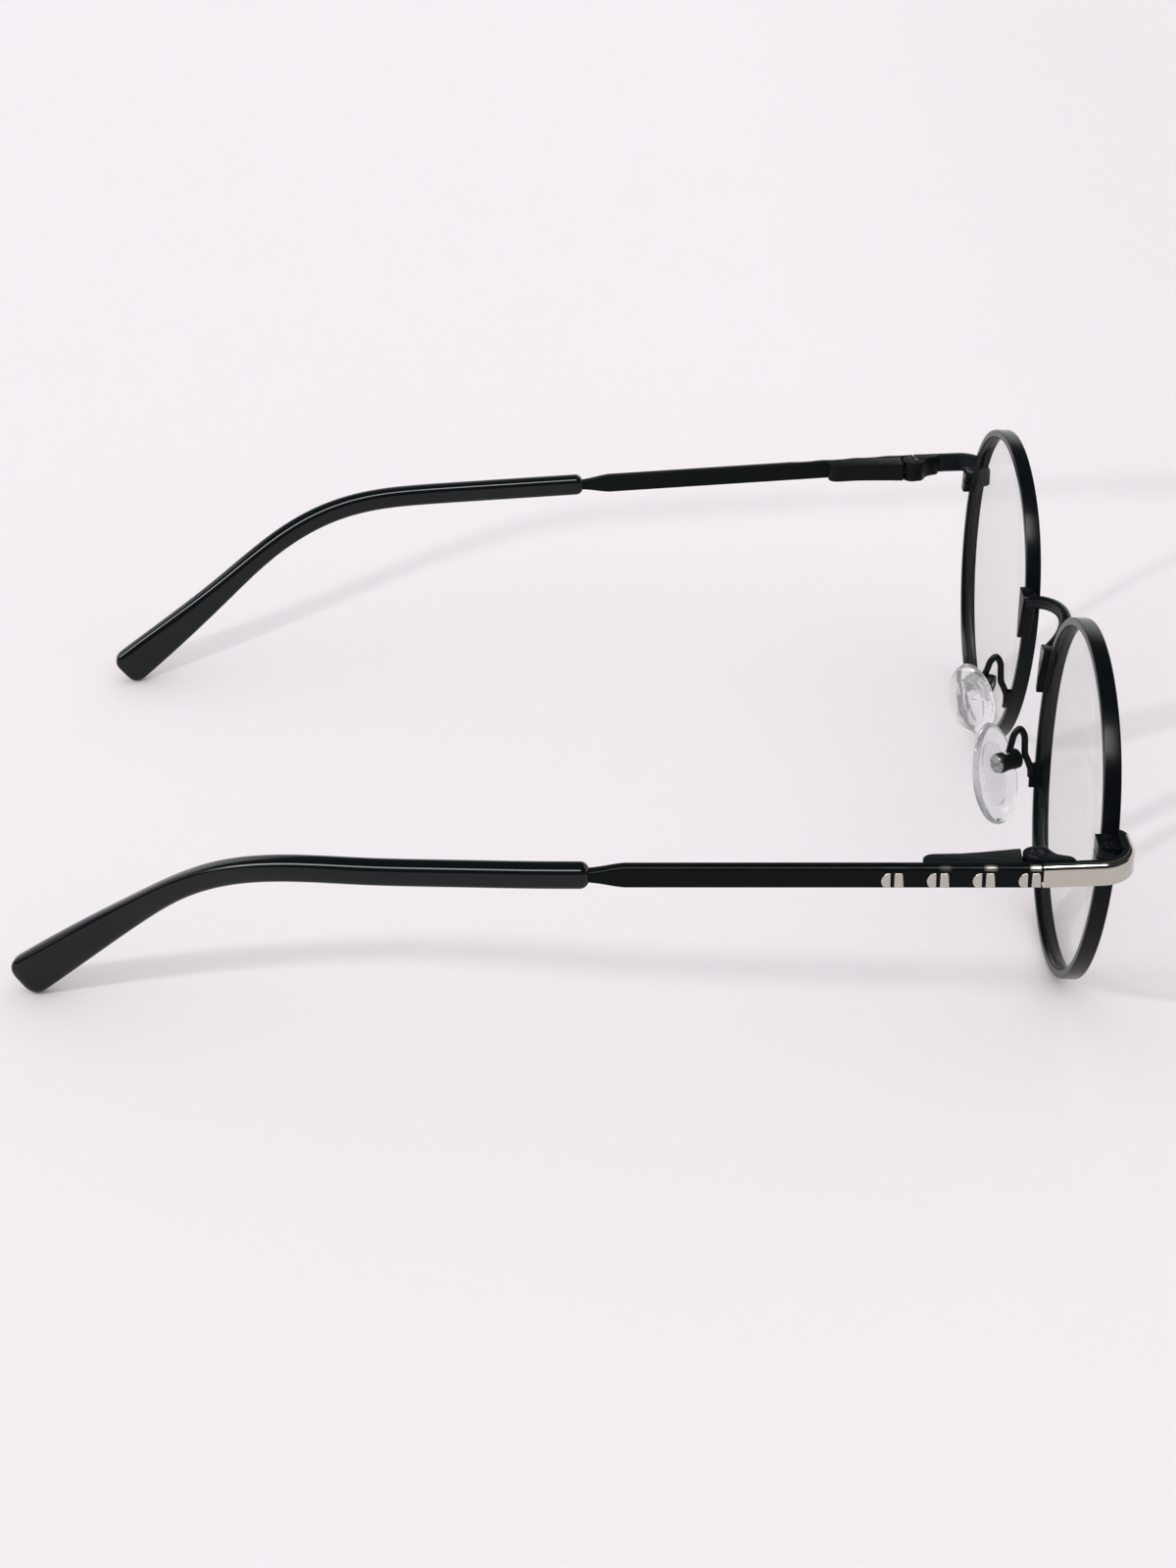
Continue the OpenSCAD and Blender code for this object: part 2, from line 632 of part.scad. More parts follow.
// Leaf seen from above: from the knuckle's inner side along a hollow curve to the end piece
leaf_outline = [[-0.97, -0.25] * knuckle_r, [-1.42, -1.25], [-1.15, -1.55], [-0.75, -1.75], [-0.25, -1.98],
    [0.36, -2.45], [0.67, -3.15], [0.86, -3.85], [1.15, -4.2], [1.43, -4.37], [leaf_x, -4.5],
    [leaf_x, end_back], [0.98, -0.14] * knuckle_r];
head_deep = 0.45;

module hinge_leaf(s) {
    mid = knuckle_h / 2 + hinge_fit;
    color("#232427") side(s) end_frame() difference() {
        translate([0, 0, -knuckle_top]) {
            cylinder(h = 2 * knuckle_top, r = knuckle_r, $fn = 48);
            linear_extrude(2 * knuckle_top) polygon(leaf_outline);
        }
        translate([0, 0, -mid]) cylinder(h = 2 * mid, r = knuckle_r + 0.12, $fn = 48);
        translate([0, 0, -knuckle_top - 1])
            cylinder(h = 2 * knuckle_top + 2, r = hinge_screw_r + hinge_fit, $fn = 32);
        translate([0, 0, knuckle_top - head_deep])
            cylinder(h = 1, r = hinge_head_r + hinge_fit, $fn = 32);
    }
}

module hinge_screws() {
    color("#8d8f93") for (s = [1, -1]) side(s) end_frame() {
        translate([0, 0, -knuckle_top])
            cylinder(h = 2 * knuckle_top - head_deep, r = hinge_screw_r, $fn = 32);
        translate([0, 0, knuckle_top - head_deep]) slotted_head(hinge_head_r, head_deep + 0.05, 0.28);
    }
}

rod_u = 0.5;
chamber_from = housing_front + 0.8;
chamber_r = 0.8;
// Length of the coil when it is pressed solid, and what is left free
spring_solid = 2.15;
spring_room = spring_solid + spring_travel;
head_from = chamber_from + spring_room;
head_l = 0.4;
chamber_to = head_from + head_l + 0.7;

module hinge_slider(s) {
    root = 0.9;
    root_in = 0.95;
    head_r = chamber_r - 0.1;
    color("#3a3b3e") side(s) temple_frame() difference() {
        union() {
            translate([0, 0, -knuckle_h / 2]) cylinder(h = knuckle_h, r = knuckle_r, $fn = 48);
            translate([-root_in, 0, -knuckle_h / 2])
                cube([knuckle_r + root_in, housing_front - 0.02, knuckle_h]);
            translate([rod_u, root, 0]) rotate([-90, 0, 0])
                cylinder(h = head_from - root, r = rod_r, $fn = 32);
            translate([rod_u, head_from, 0]) rotate([-90, 0, 0]) cylinder(h = head_l, r = head_r, $fn = 32);
        }
        translate([0, 0, -knuckle_h]) cylinder(h = 2 * knuckle_h, r = hinge_screw_r + hinge_fit, $fn = 32);
    }
}

// Coil spring round the slider's rod, between the housing's wall and the rod's head

module hinge_spring(s) {
    turns = 6;
    steps = 10;
    wire_r = spring_wire / 2;
    end_gap = 0.02;
    coil_r = chamber_r - 0.06 - wire_r;
    from = chamber_from + wire_r + end_gap;
    lead = (spring_room - spring_wire - 2 * end_gap) / turns;
    rings = [for (i = [0:turns * steps]) let (a = 360 * i / steps,
            c = [rod_u + coil_r * cos(a), from + lead * i / steps, coil_r * sin(a)])
        [for (b = [0:72:288]) c + wire_r * [cos(b) * cos(a), sin(b), cos(b) * sin(a)]]];
    color("#9a9ca0") side(s) temple_frame() loft(rings);
}

// Housing seen from above, measured from the blade's inner face and from the housing's front
housing_wide = 3.2;
housing_narrow = 1.95;
housing_outline = [[0, 0], [0.15 - housing_wide, 0], [-housing_wide, 0.15], [-2.8, 2.3], [-2.38, 4.8],
    [-2.05, 7.3], [-housing_narrow, housing_l - 1.4], [0.15 - housing_narrow, housing_l - 0.7],
    [0.6 - housing_narrow, housing_l - 0.2], [1.2 - housing_narrow, housing_l], [0, housing_l]];

module spring_housing(s) {
    color("#232427") side(s) temple_frame() difference() {
        translate([blade_u - blade_t / 2, housing_front, -blade_h / 2]) linear_extrude(blade_h)
            polygon(housing_outline);
        translate([rod_u, chamber_from, 0]) rotate([-90, 0, 0])
            cylinder(h = chamber_to - chamber_from, r = chamber_r, $fn = 32);
        translate([rod_u, housing_front - 1, 0]) rotate([-90, 0, 0])
            cylinder(h = 2, r = rod_r + hinge_fit, $fn = 32);
    }
}

// Temple: blade with a shoulder, narrowed neck and core wire

blade_front = end_back + butt_gap;

band_pairs = 4;
// The front and the rear band of a pair, in shares of a band's width and height
band_outlines = [[[0, 0], [1, 0], [0.97, 0.93], [0.9, 1], [0.2, 1], [0.1, 0.93]],
    [[0, 0], [0.68, 0], [0.92, 0.2], [1, 0.45], [0.9, 0.7], [0.62, 0.9], [0.3, 1], [0, 1]]];

module bands(proud) {
    for (k = [0:band_pairs - 1]) for (b = [0, 1])
        translate([blade_u + blade_t / 2 - band_sunk, blade_front + k * band_pitch + b * (band_w + band_gap),
            band_foot - blade_h / 2])
            rotate([90, 0, 90]) linear_extrude(band_sunk + proud)
                polygon([for (p = band_outlines[b]) [p[0] * band_w, p[1] * band_h]]);
}

module temple(s) {
    neck_end = neck_start + neck_l;
    length = neck_end - blade_front;
    color("#1b1c1e") side(s) temple_frame() union() {
        difference() {
            translate([blade_u - blade_t / 2, neck_end, 0]) rotate([90, 0, 0])
                linear_extrude(length) shoulder_profile(blade_t, blade_h);
            for (m = [0, 1]) mirror([0, 0, m]) rotate([90, 0, 90])
                linear_extrude(4) polygon([[neck_start, blade_h / 2], [neck_start + 1.5, blade_h / 2 - 0.15],
                    [neck_end - 1, core_r + 0.12], [neck_end, core_r + 0.05], [neck_end + 1, core_r + 0.05],
                    [neck_end + 1, blade_h], [neck_start, blade_h]]);
            bands(1);
        }
        translate([blade_u, neck_start + 1, 0]) rotate([-90, 0, 0])
            cylinder(h = neck_l - 1 + core_l, r = core_r, $fn = 32);
    }
}

module temple_bands(s) {
    color("#b2ada7") side(s) temple_frame() bands(band_proud);
}

module temple_tip(s) {
    color("#17181a") difference() {
        side(s) loft(tip_rings);
        side(s) temple_frame() translate([blade_u, neck_start, 0]) rotate([-90, 0, 0])
            cylinder(h = neck_l + core_l + 0.1, r = core_r + 0.02, $fn = 32);
    }
}

rim(1);  // rim_left
rim(-1);  // rim_right
lens(1);  // lens_left
lens(-1);  // lens_right
rim_lock(1);  // rim_lock_left
rim_lock(-1);  // rim_lock_right
rim_lock_screws();
bridge();
pad_arm(1);  // pad_arm_left
pad_arm(-1);  // pad_arm_right
pad_cup(1);  // pad_cup_left
pad_cup(-1);  // pad_cup_right
pad_screws();
nose_pad(1);  // nose_pad_left
nose_pad(-1);  // nose_pad_right
pad_core(1);  // pad_core_left
pad_core(-1);  // pad_core_right
end_piece(1);  // end_piece_left
end_piece(-1);  // end_piece_right
hinge_leaf(1);  // hinge_leaf_left
hinge_leaf(-1);  // hinge_leaf_right
hinge_screws();
hinge_slider(1);  // hinge_slider_left
hinge_slider(-1);  // hinge_slider_right
hinge_spring(1);  // hinge_spring_left
hinge_spring(-1);  // hinge_spring_right
spring_housing(1);  // spring_housing_left
spring_housing(-1);  // spring_housing_right
temple(1);  // temple_left
temple(-1);  // temple_right
temple_bands(1);  // temple_bands_left
temple_bands(-1);  // temple_bands_right
temple_tip(1);  // temple_tip_left
temple_tip(-1);  // temple_tip_right
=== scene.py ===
import json
import math

import bmesh
import bpy
import numpy as np
from mathutils import Matrix


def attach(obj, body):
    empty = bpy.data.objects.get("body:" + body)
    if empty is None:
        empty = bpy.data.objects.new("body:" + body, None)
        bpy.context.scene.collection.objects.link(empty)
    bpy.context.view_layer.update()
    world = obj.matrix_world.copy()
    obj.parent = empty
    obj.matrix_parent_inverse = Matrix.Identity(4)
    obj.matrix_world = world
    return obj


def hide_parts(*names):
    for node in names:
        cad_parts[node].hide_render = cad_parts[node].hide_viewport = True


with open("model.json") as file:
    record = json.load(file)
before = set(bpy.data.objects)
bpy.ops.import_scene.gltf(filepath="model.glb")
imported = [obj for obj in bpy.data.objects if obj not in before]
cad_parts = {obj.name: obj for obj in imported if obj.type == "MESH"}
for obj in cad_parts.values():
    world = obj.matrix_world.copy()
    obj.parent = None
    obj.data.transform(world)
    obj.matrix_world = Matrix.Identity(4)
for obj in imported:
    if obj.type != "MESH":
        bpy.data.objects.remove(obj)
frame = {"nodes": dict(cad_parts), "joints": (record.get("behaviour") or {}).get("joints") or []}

# Round metal eyeglasses. Shapes are worked out in millimetres, in the same frames as the solids,
# with the left half drawn and the right half mirrored, and go into the meshes in metres.

scene = bpy.context.scene
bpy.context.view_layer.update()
print("frame loaded")

sides = {"left": 1, "right": -1}

# Sizes that several pieces share, in millimetres and degrees
lensShape = {
    "width": 48.0,
    "cornerTight": 4.5,  # how much tighter than a circle the upper corners bend
    "sideFlat": 3.0,  # how much wider than a circle the lower sides bend
    "topArc": 30.0,  # half of the top arc
    "sideSlope": (0.8, 0.6),  # cosine and sine of each side arc's sweep
    "thickness": 1.5,
    "curveRadius": 130.0,
    "flatEdge": 1.0,  # width at the widest place that the faces' curve leaves out
    "fit": 0.05,  # clearance in the rim's groove
    "bevel": 0.45,  # half the height of the edge inside the groove
    "station": 1.0,  # distance between points round the edge
}
rimShape = {
    "gap": 19.0,  # between the two lenses
    "depth": 2.2,
    "out": 0.65,  # wire outside the lens outline
    "inside": 0.45,  # and inside it
    "groove": 0.5,
    "round": 0.26,
    "innerRound": 0.18,
    "lip": 0.04,  # rounding of the groove's edges
    "wrap": 1.54,
    "tilt": 1.38,
    "slitUp": 7.1,  # height of the slit inside the lock
    "slit": 0.2,
    "station": 0.45,  # distance between rings along the wire
}
hingeShape = {
    "up": 7.57,  # the pin's middle above the lens centres,
    "back": 10.4,  # behind them
    "inside": 3.15,  # and in from the temple's outer face
    "sideToFace": 7.35,  # from the rim's side out to that face
}
templeShape = {
    "splay": 3.9,
    "pitch": 2.9,
    "length": 139.1,
}

halfWidth = lensShape["width"] / 2
rimX = (lensShape["width"] + rimShape["gap"]) / 2
rimSideX = rimX + halfWidth + rimShape["out"]
rimHalf = rimShape["depth"] / 2
faceX = rimSideX + hingeShape["sideToFace"]
hingeAt = np.array([faceX - hingeShape["inside"], hingeShape["back"], hingeShape["up"]])
# From the lens centres to the table's frame: how far the left fold joint lies from hingeAt
leftFold = next(joint for joint in frame["joints"] if joint["name"] == "temple_left_fold")
stand = np.array(leftFold["pos_m"]) * 1000 - hingeAt


def spin(p, axis, degrees):
    # Turn points about x, y or z by the right-hand rule: a mix of the two other coordinates
    c, s = math.cos(math.radians(degrees)), math.sin(math.radians(degrees))
    first, second = {"x": (1, 2), "y": (2, 0), "z": (0, 1)}[axis]
    q = np.array(p, float)
    q[..., first] = c * p[..., first] - s * p[..., second]
    q[..., second] = s * p[..., first] + c * p[..., second]
    return q


def stack(*parts):
    # Coordinates of any shapes that broadcast, put together along a last axis
    return np.stack(np.broadcast_arrays(*[np.asarray(v, float) for v in parts]), -1)


def inRim(p):
    return spin(spin(p, "x", 90 + rimShape["tilt"]), "z", rimShape["wrap"]) + [rimX, 0, 0]


def inEnd(p):
    return spin(p, "x", -templeShape["pitch"]) + hingeAt


def inTemple(p):
    return spin(spin(p, "x", -templeShape["pitch"]), "z", templeShape["splay"]) + hingeAt


def inWorld(p, side):
    return (np.asarray(p, float) + stand) * 0.001 * [side, 1, 1]


def gridFaces(rows, cols, closed=True):
    # Four corners of each cell of a grid of points, as one array
    i = np.arange(rows - 1)[:, None] * cols
    j = np.arange(cols if closed else cols - 1)[None, :]
    nextCol = (j + 1) % cols
    return np.stack([i + j, i + cols + j, i + cols + nextCol, i + nextCol], -1).reshape(-1, 4)


def signedVolume(points, loops, starts, sizes):
    # Sum of the wedges from the centre to a fan of triangles over each face
    total = 0.0
    middle = points.mean(0)
    for size in np.unique(sizes):
        corners = loops[starts[sizes == size][:, None] + np.arange(size)[None, :]]
        q = points[corners] - middle
        fan = np.cross(q[:, 1:-1], q[:, 2:])
        total += np.einsum("ijk,ijk->", np.broadcast_to(q[:, :1], fan.shape), fan) / 6
    return total


def faceStarts(sizes):
    return np.concatenate([[0], np.cumsum(sizes)[:-1]])


def meshPiece(name, skins, maps=None, sharp=38):
    # One mesh from skins, each a grid of rings that is closed round and capped at both ends.
    # A skin whose volume comes out negative has its faces turned round
    allPoints, allLoops, allSizes, allMaps = [], [], [], []
    offset = 0
    for number, skin in enumerate(skins):
        rows, cols = skin.shape[:2]
        flat = skin.reshape(-1, 3)
        faces = gridFaces(rows, cols)
        caps = [np.arange(cols), (rows - 1) * cols + np.arange(cols)[::-1]]
        loops = np.concatenate([faces.ravel(), *caps])
        sizes = np.concatenate([np.full(len(faces), 4), [cols, cols]])
        if signedVolume(flat, loops, faceStarts(sizes), sizes) < 0:
            loops, sizes = loops[::-1], sizes[::-1]
        allPoints.append(flat)
        allLoops.append(loops + offset)
        allSizes.append(sizes)
        if maps is not None:
            allMaps.append(np.broadcast_to(maps[number], (rows, cols, 2)).reshape(-1, 2))
        offset += len(flat)
    points, loops, sizes = [np.concatenate(v) for v in (allPoints, allLoops, allSizes)]
    mesh = bpy.data.meshes.new(name)
    mesh.vertices.add(len(points))
    mesh.vertices.foreach_set("co", points.ravel())
    mesh.loops.add(len(loops))
    mesh.loops.foreach_set("vertex_index", loops.astype(np.int32))
    mesh.polygons.add(len(sizes))
    mesh.polygons.foreach_set("loop_start", faceStarts(sizes).astype(np.int32))
    mesh.polygons.foreach_set("use_smooth", np.ones(len(sizes), bool))
    if maps is not None:
        layer = mesh.uv_layers.new(name="profile")
        layer.data.foreach_set("uv", np.concatenate(allMaps)[loops].astype(np.float32).ravel())
    mesh.update(calc_edges=True)
    mesh.validate()
    mesh.set_sharp_from_angle(angle=math.radians(sharp))
    piece = bpy.data.objects.new(name, mesh)
    scene.collection.objects.link(piece)
    return piece


def finishPiece(piece, material, body, slotName, *stands):
    piece.data.materials.clear()
    piece.data.materials.append(material)
    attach(piece, body)
    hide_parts(*stands)


def sideBody(body, side):
    # The front is one body, the others have a side
    return body if body == "front" else f"{body}_{side}"


def sidePiece(side, name, node, skins, material, body, slotName, **more):
    # A left piece, or its mirror image on the right
    piece = meshPiece(f"{name}_{side}", [inWorld(skin, sides[side]) for skin in skins], **more)
    finishPiece(piece, material, sideBody(body, side), slotName, f"{node}_{side}")


def bothSides(*piece, **more):
    for side in sides:
        sidePiece(side, *piece, **more)


def softPolygon(corners, radii, steps=6):
    # Closed outline whose corners are parabolas between the points a radius before and after
    # each: (1 - t)^2 * start + 2 * t * (1 - t) * corner + t^2 * end
    c = np.asarray(corners, float)
    r = np.broadcast_to(np.asarray(radii, float), (len(c),))[:, None]
    before, after = np.roll(c, 1, 0) - c, np.roll(c, -1, 0) - c
    start = (c + r * before / np.linalg.norm(before, axis=1, keepdims=True))[:, None]
    end = (c + r * after / np.linalg.norm(after, axis=1, keepdims=True))[:, None]
    t = np.linspace(0, 1, steps)[None, :, None]
    bends = (1 - t) ** 2 * start + 2 * t * (1 - t) * c[:, None] + t ** 2 * end
    return bends.reshape(-1, 2)


def outwards(outline):
    # Unit normals of a closed outline, from the line between each point's two neighbours
    x, y = outline.T
    area = np.sum(x * np.roll(y, -1) - y * np.roll(x, -1))
    along = np.roll(outline, -1, 0) - np.roll(outline, 1, 0)
    normals = np.stack([along[:, 1], -along[:, 0]], -1) * np.sign(area)
    return normals / np.maximum(np.linalg.norm(normals, axis=1, keepdims=True), 1e-9)


def softPrism(outline, low, high, edge, steps=5):
    # Rows of an upright block: the outline drawn in by 1 - sin at each end, over a quarter turn
    a = np.radians(np.linspace(0, 90, steps))
    inset = np.concatenate([edge * (1 - np.sin(a)), edge * (1 - np.sin(a))[::-1]])
    drop = edge * (1 - np.cos(a))
    level = np.concatenate([low + drop, high - drop[::-1]])
    flat = outline[None] - inset[:, None, None] * outwards(outline)[None]
    return np.concatenate([flat, np.broadcast_to(level[:, None, None], flat.shape[:2] + (1,))], -1)


def tube(path, radius, around, reference=(1.0, 0, 0)):
    # A circle carried square to a path: point + radius * (cos * side + sin * other side)
    path = np.asarray(path, float)
    d = np.gradient(path, axis=0)
    d /= np.linalg.norm(d, axis=1, keepdims=True)
    x = np.cross(d, np.cross(np.array(reference), d))
    x /= np.linalg.norm(x, axis=1, keepdims=True)
    y = np.cross(d, x)
    a = np.linspace(0, 2 * np.pi, around, endpoint=False)[None, :, None]
    return path[:, None] + radius * (np.cos(a) * x[:, None] + np.sin(a) * y[:, None])


def smooth(t):
    # Ease from 0 to 1: 3 * t^2 - 2 * t^3
    c = np.clip(t, 0, 1)
    return c * c * (3 - 2 * c)


def spline(points, steps):
    # Catmull-Rom curve, its ends doubled. Between b and c it is half of 2 * b + (c - a) * t
    # + (2 * a - 5 * b + 4 * c - d) * t^2 + (3 * b - a - 3 * c + d) * t^3
    p = np.asarray(points, float)
    q = np.concatenate([p[:1], p, p[-1:]])
    a, b, c, d = [q[k:len(q) - 3 + k][:, None] for k in range(4)]
    t = np.linspace(0, 1, steps, endpoint=False)[None, :, None]
    curve = 2 * b + (c - a) * t + (2 * a - 5 * b + 4 * c - d) * t ** 2
    curve = 0.5 * (curve + (3 * b - a - 3 * c + d) * t ** 3)
    return np.concatenate([curve.reshape(-1, 3), p[-1:]])


# Shader maths written as expressions

class Value:
    def __init__(self, tree, socket):
        self.tree, self.socket = tree, socket

    def math(self, operation, *values, clamp=False):
        node = self.tree.nodes.new("ShaderNodeMath")
        node.operation, node.use_clamp = operation, clamp
        for socket, value in zip(node.inputs, values):
            if isinstance(value, Value):
                self.tree.links.new(value.socket, socket)
            else:
                socket.default_value = value
        return Value(self.tree, node.outputs[0])

    def __add__(self, other): return self.math("ADD", self, other)
    def __radd__(self, other): return self.math("ADD", other, self)
    def __sub__(self, other): return self.math("SUBTRACT", self, other)
    def __rsub__(self, other): return self.math("SUBTRACT", other, self)
    def __mul__(self, other): return self.math("MULTIPLY", self, other)
    def __rmul__(self, other): return self.math("MULTIPLY", other, self)
    def __truediv__(self, other): return self.math("DIVIDE", self, other)
    def __rtruediv__(self, other): return self.math("DIVIDE", other, self)
    def __pow__(self, other): return self.math("POWER", self, other)
    def clip(self): return self.math("ADD", self, 0.0, clamp=True)
    def step(self, low, high): return ((self - low) * (1 / (high - low))).clip()


class Shader:
    def __init__(self, tree):
        self.tree = tree
        tree.nodes.clear()

    def feed(self, socket, value):
        value = value.socket if isinstance(value, Value) else value
        if isinstance(value, bpy.types.NodeSocket):
            self.tree.links.new(value, socket)
        else:
            socket.default_value = value

    def node(self, kind, settings=None, **values):
        node = self.tree.nodes.new(kind)
        for key, value in (settings or {}).items():
            setattr(node, key, value)
        for key, value in values.items():
            self.feed(node.inputs[key], value)
        return node

    def axes(self, vector):
        parts = self.node("ShaderNodeSeparateXYZ", Vector=vector)
        return [Value(self.tree, parts.outputs[k]) for k in "XYZ"]


class Finish(Shader):
    def __init__(self, name, **constants):
        self.material = bpy.data.materials.new(name)
        self.material.use_nodes = True
        super().__init__(self.material.node_tree)
        self.surface = self.node("ShaderNodeBsdfPrincipled")
        self.node("ShaderNodeOutputMaterial", Surface=self.surface.outputs[0])
        for key, value in constants.items():
            self.surface.inputs[key].default_value = value

    def set(self, name, value):
        self.feed(self.surface.inputs[name], value)

    def place(self):
        return self.node("ShaderNodeTexCoord").outputs["Object"]

    def profile(self):
        return self.axes(self.node("ShaderNodeUVMap", {"uv_map": "profile"}).outputs[0])[:2]

    def noise(self, scale, detail=3.0, stretch=None):
        place = self.place()
        if stretch:
            place = self.node("ShaderNodeMapping", Vector=place, Scale=stretch).outputs[0]
        texture = self.node("ShaderNodeTexNoise", Vector=place, Scale=scale, Detail=detail)
        return Value(self.tree, texture.outputs["Fac"])

    def uneven(self, look, stretch=None):
        # Roughness that varies a little
        scale, strength = look["uneven"]
        self.set("Roughness", look["rough"] + strength * self.noise(scale, 2, stretch))

    def bump(self, height, strength, distance):
        bump = self.node("ShaderNodeBump", Height=height, Strength=strength, Distance=distance)
        self.set("Normal", bump.outputs[0])

    def blend(self, factor, first, second):
        mix = self.tree.nodes.new("ShaderNodeMix")
        mix.data_type = "RGBA"
        for index, value in ((0, factor), (6, first), (7, second)):
            self.feed(mix.inputs[index], value)
        return mix.outputs[2]


def black(level):
    # The enamels' and the tips' black, a little cold
    return (level * 0.75, level * 1.05, level * 1.25, 1)


def lacquered(name, look):
    # Enamel or acetate, which share their index
    return Finish(name, **{"IOR": 1.45, "Specular IOR Level": look["specular"]})


paints = {
    "enamel": black(0.0035),
    "enamelWorn": black(0.006),
    "endEnamel": black(0.008),
    "blade": black(0.003),
    "bladeStreak": black(0.0045),
    "tip": black(0.0035),
    "tipStreak": black(0.006),
    "screw": (0.05, 0.052, 0.055, 1),
    "screwDark": black(0.02),
    "silver": (0.53, 0.51, 0.45, 1),
    "silverDull": (0.47, 0.455, 0.40, 1),
    "steel": (0.50, 0.50, 0.50, 1),
    "steelDark": (0.18, 0.18, 0.18, 1),
}

# Noise scales are per metre. In a pair the other number is the strength, or the detail where
# the note says so
enamelLooks = {
    "satinBlackEnamel": {  # thin and satin, over the front's wire
        "specular": 0.12,
        "cloud": (420, 3),  # scale and detail
        "cloudBand": (0.35, 0.75),
        "rough": 0.17,
        "uneven": (900, 0.08),
        "peel": (5200, 0.03, 0.00004),  # scale, strength and depth
    },
    "hingeEnamel": {  # thicker and rougher, on the small parts
        "specular": 0.1,
        "cloud": (700, 4),
        "cloudBand": (0.3, 0.8),
        "rough": 0.34,
        "uneven": (1500, 0.12),
        "peel": (7000, 0.08, 0.00004),
    },
}


def blackEnamel(name):
    # Clouded colour, uneven gloss and a fine orange peel
    look = enamelLooks[name]
    finish = lacquered(name, look)
    cloud = finish.noise(*look["cloud"]).step(*look["cloudBand"])
    finish.set("Base Color", finish.blend(cloud, paints["enamel"], paints["enamelWorn"]))
    finish.uneven(look)
    scale, *size = look["peel"]
    finish.bump(finish.noise(scale, 2), *size)
    return finish.material


bladeLook = {
    "specular": 0.08,
    "rough": 0.22,
    "uneven": (500, 0.08),
    "streak": (260, 2),  # scale and detail
    "streakStretch": (1, 0.2, 1),
    "wornAt": 0.6,  # middle of the wear, in pitches of the bands plus a half
    "wornHalf": 0.16,
    "wornPitches": 2.6,  # how far back the wear reaches,
    "wornPower": 1.4,  # and how fast it fades
    "wornFrom": (0.085, 0.105),  # lower and upper edge of the wear, in centimetres
    "wornTo": (0.136, 0.142),
}


def bladeEnamel():
    # The profile map gives (along, up) in centimetres. Smooth enamel, worn through to the plating
    # on the shoulder above the front bands, most of all near the hinge
    look = bladeLook
    finish = lacquered("bladeEnamel", look)
    along, up = finish.profile()
    phase = (along - bladeShape["front"] * 0.1) / (bandShape["pitch"] * 0.1)
    inPitch = phase.math("FRACT", phase + 0.5)
    offPair = ((inPitch - look["wornAt"]) / look["wornHalf"]) ** 2.0
    fade = (1.0 - phase / look["wornPitches"]).clip() ** look["wornPower"]
    shoulder = up.step(*look["wornFrom"]) * (1.0 - up.step(*look["wornTo"]))
    worn = (1.0 - offPair).clip() * fade * shoulder
    streak = finish.noise(*look["streak"], look["streakStretch"])
    enamel = finish.blend(streak, paints["blade"], paints["bladeStreak"])
    finish.set("Base Color", finish.blend(worn, enamel, paints["silver"]))
    finish.set("Metallic", worn)
    finish.uneven(look)
    return finish.material


tipLook = {
    "specular": 0.02,
    "streak": (190, 3),  # scale and detail
    "streakStretch": (1, 0.25, 1),
    "rough": 0.10,
    "uneven": (380, 0.10),
    "coat": 0.42,
    "coatStreak": 0.1,
    "coatRough": 0.025,
}


def tipAcetate():
    # Polished acetate: deep black with long soft streaks of pigment
    look = tipLook
    finish = lacquered("tipAcetate", look)
    streak = finish.noise(*look["streak"], look["streakStretch"])
    finish.set("Base Color", finish.blend(streak, paints["tip"], paints["tipStreak"]))
    finish.uneven(look)
    finish.set("Coat Weight", look["coat"] + look["coatStreak"] * streak)
    finish.set("Coat Roughness", look["coatRough"])
    return finish.material


silverLook = {
    "cloud": 260,
    "rough": 0.22,
    "uneven": (900, 0.08),
    "brushed": (1, 0.1, 1),
}


def platedSilver():
    # Warm plating, faintly clouded, brushed along its length
    finish = Finish("warmSilverPlating", Metallic=1.0)
    cloud = finish.noise(silverLook["cloud"])
    finish.set("Base Color", finish.blend(cloud, paints["silverDull"], paints["silver"]))
    finish.uneven(silverLook, silverLook["brushed"])
    return finish.material


endLook = {
    "specular": 0.1,
    "cloud": 300,
    "rough": 0.07,
    "cloudRough": 0.04,
    "enamelRough": 0.12,
    "topFrom": (0.1435, 0.1455),  # height at which the flat top begins, in centimetres
    "topTo": (0.07, 0.078),  # distance out at which it ends
    "inner": (0.008, 0.014),  # distance out at which the inner side ends
}


def endPieceFinish():
    # The profile map gives (across, up) in centimetres: plating on the face, shoulder and
    # underside, enamel on the flat top and on the inner side
    look = endLook
    finish = lacquered("silverFaceBlackTop", look)
    across, up = finish.profile()
    top = up.step(*look["topFrom"]) * (1.0 - across.step(*look["topTo"]))
    inner = 1.0 - across.step(*look["inner"])
    enamel = (top + inner).clip()
    cloud = finish.noise(look["cloud"])
    silver = finish.blend(cloud, paints["silverDull"], paints["silver"])
    finish.set("Base Color", finish.blend(enamel, silver, paints["endEnamel"]))
    finish.set("Metallic", 1.0 - enamel)
    rough = look["rough"] + look["cloudRough"] * cloud + look["enamelRough"] * enamel
    finish.set("Roughness", rough)
    return finish.material


turnedLook = {
    "screwRough": 0.3,
    "steelRough": 0.25,
    "cloud": 2400,
    "cloudBand": (0.3, 0.7),
    "cloudRough": 0.15,
}


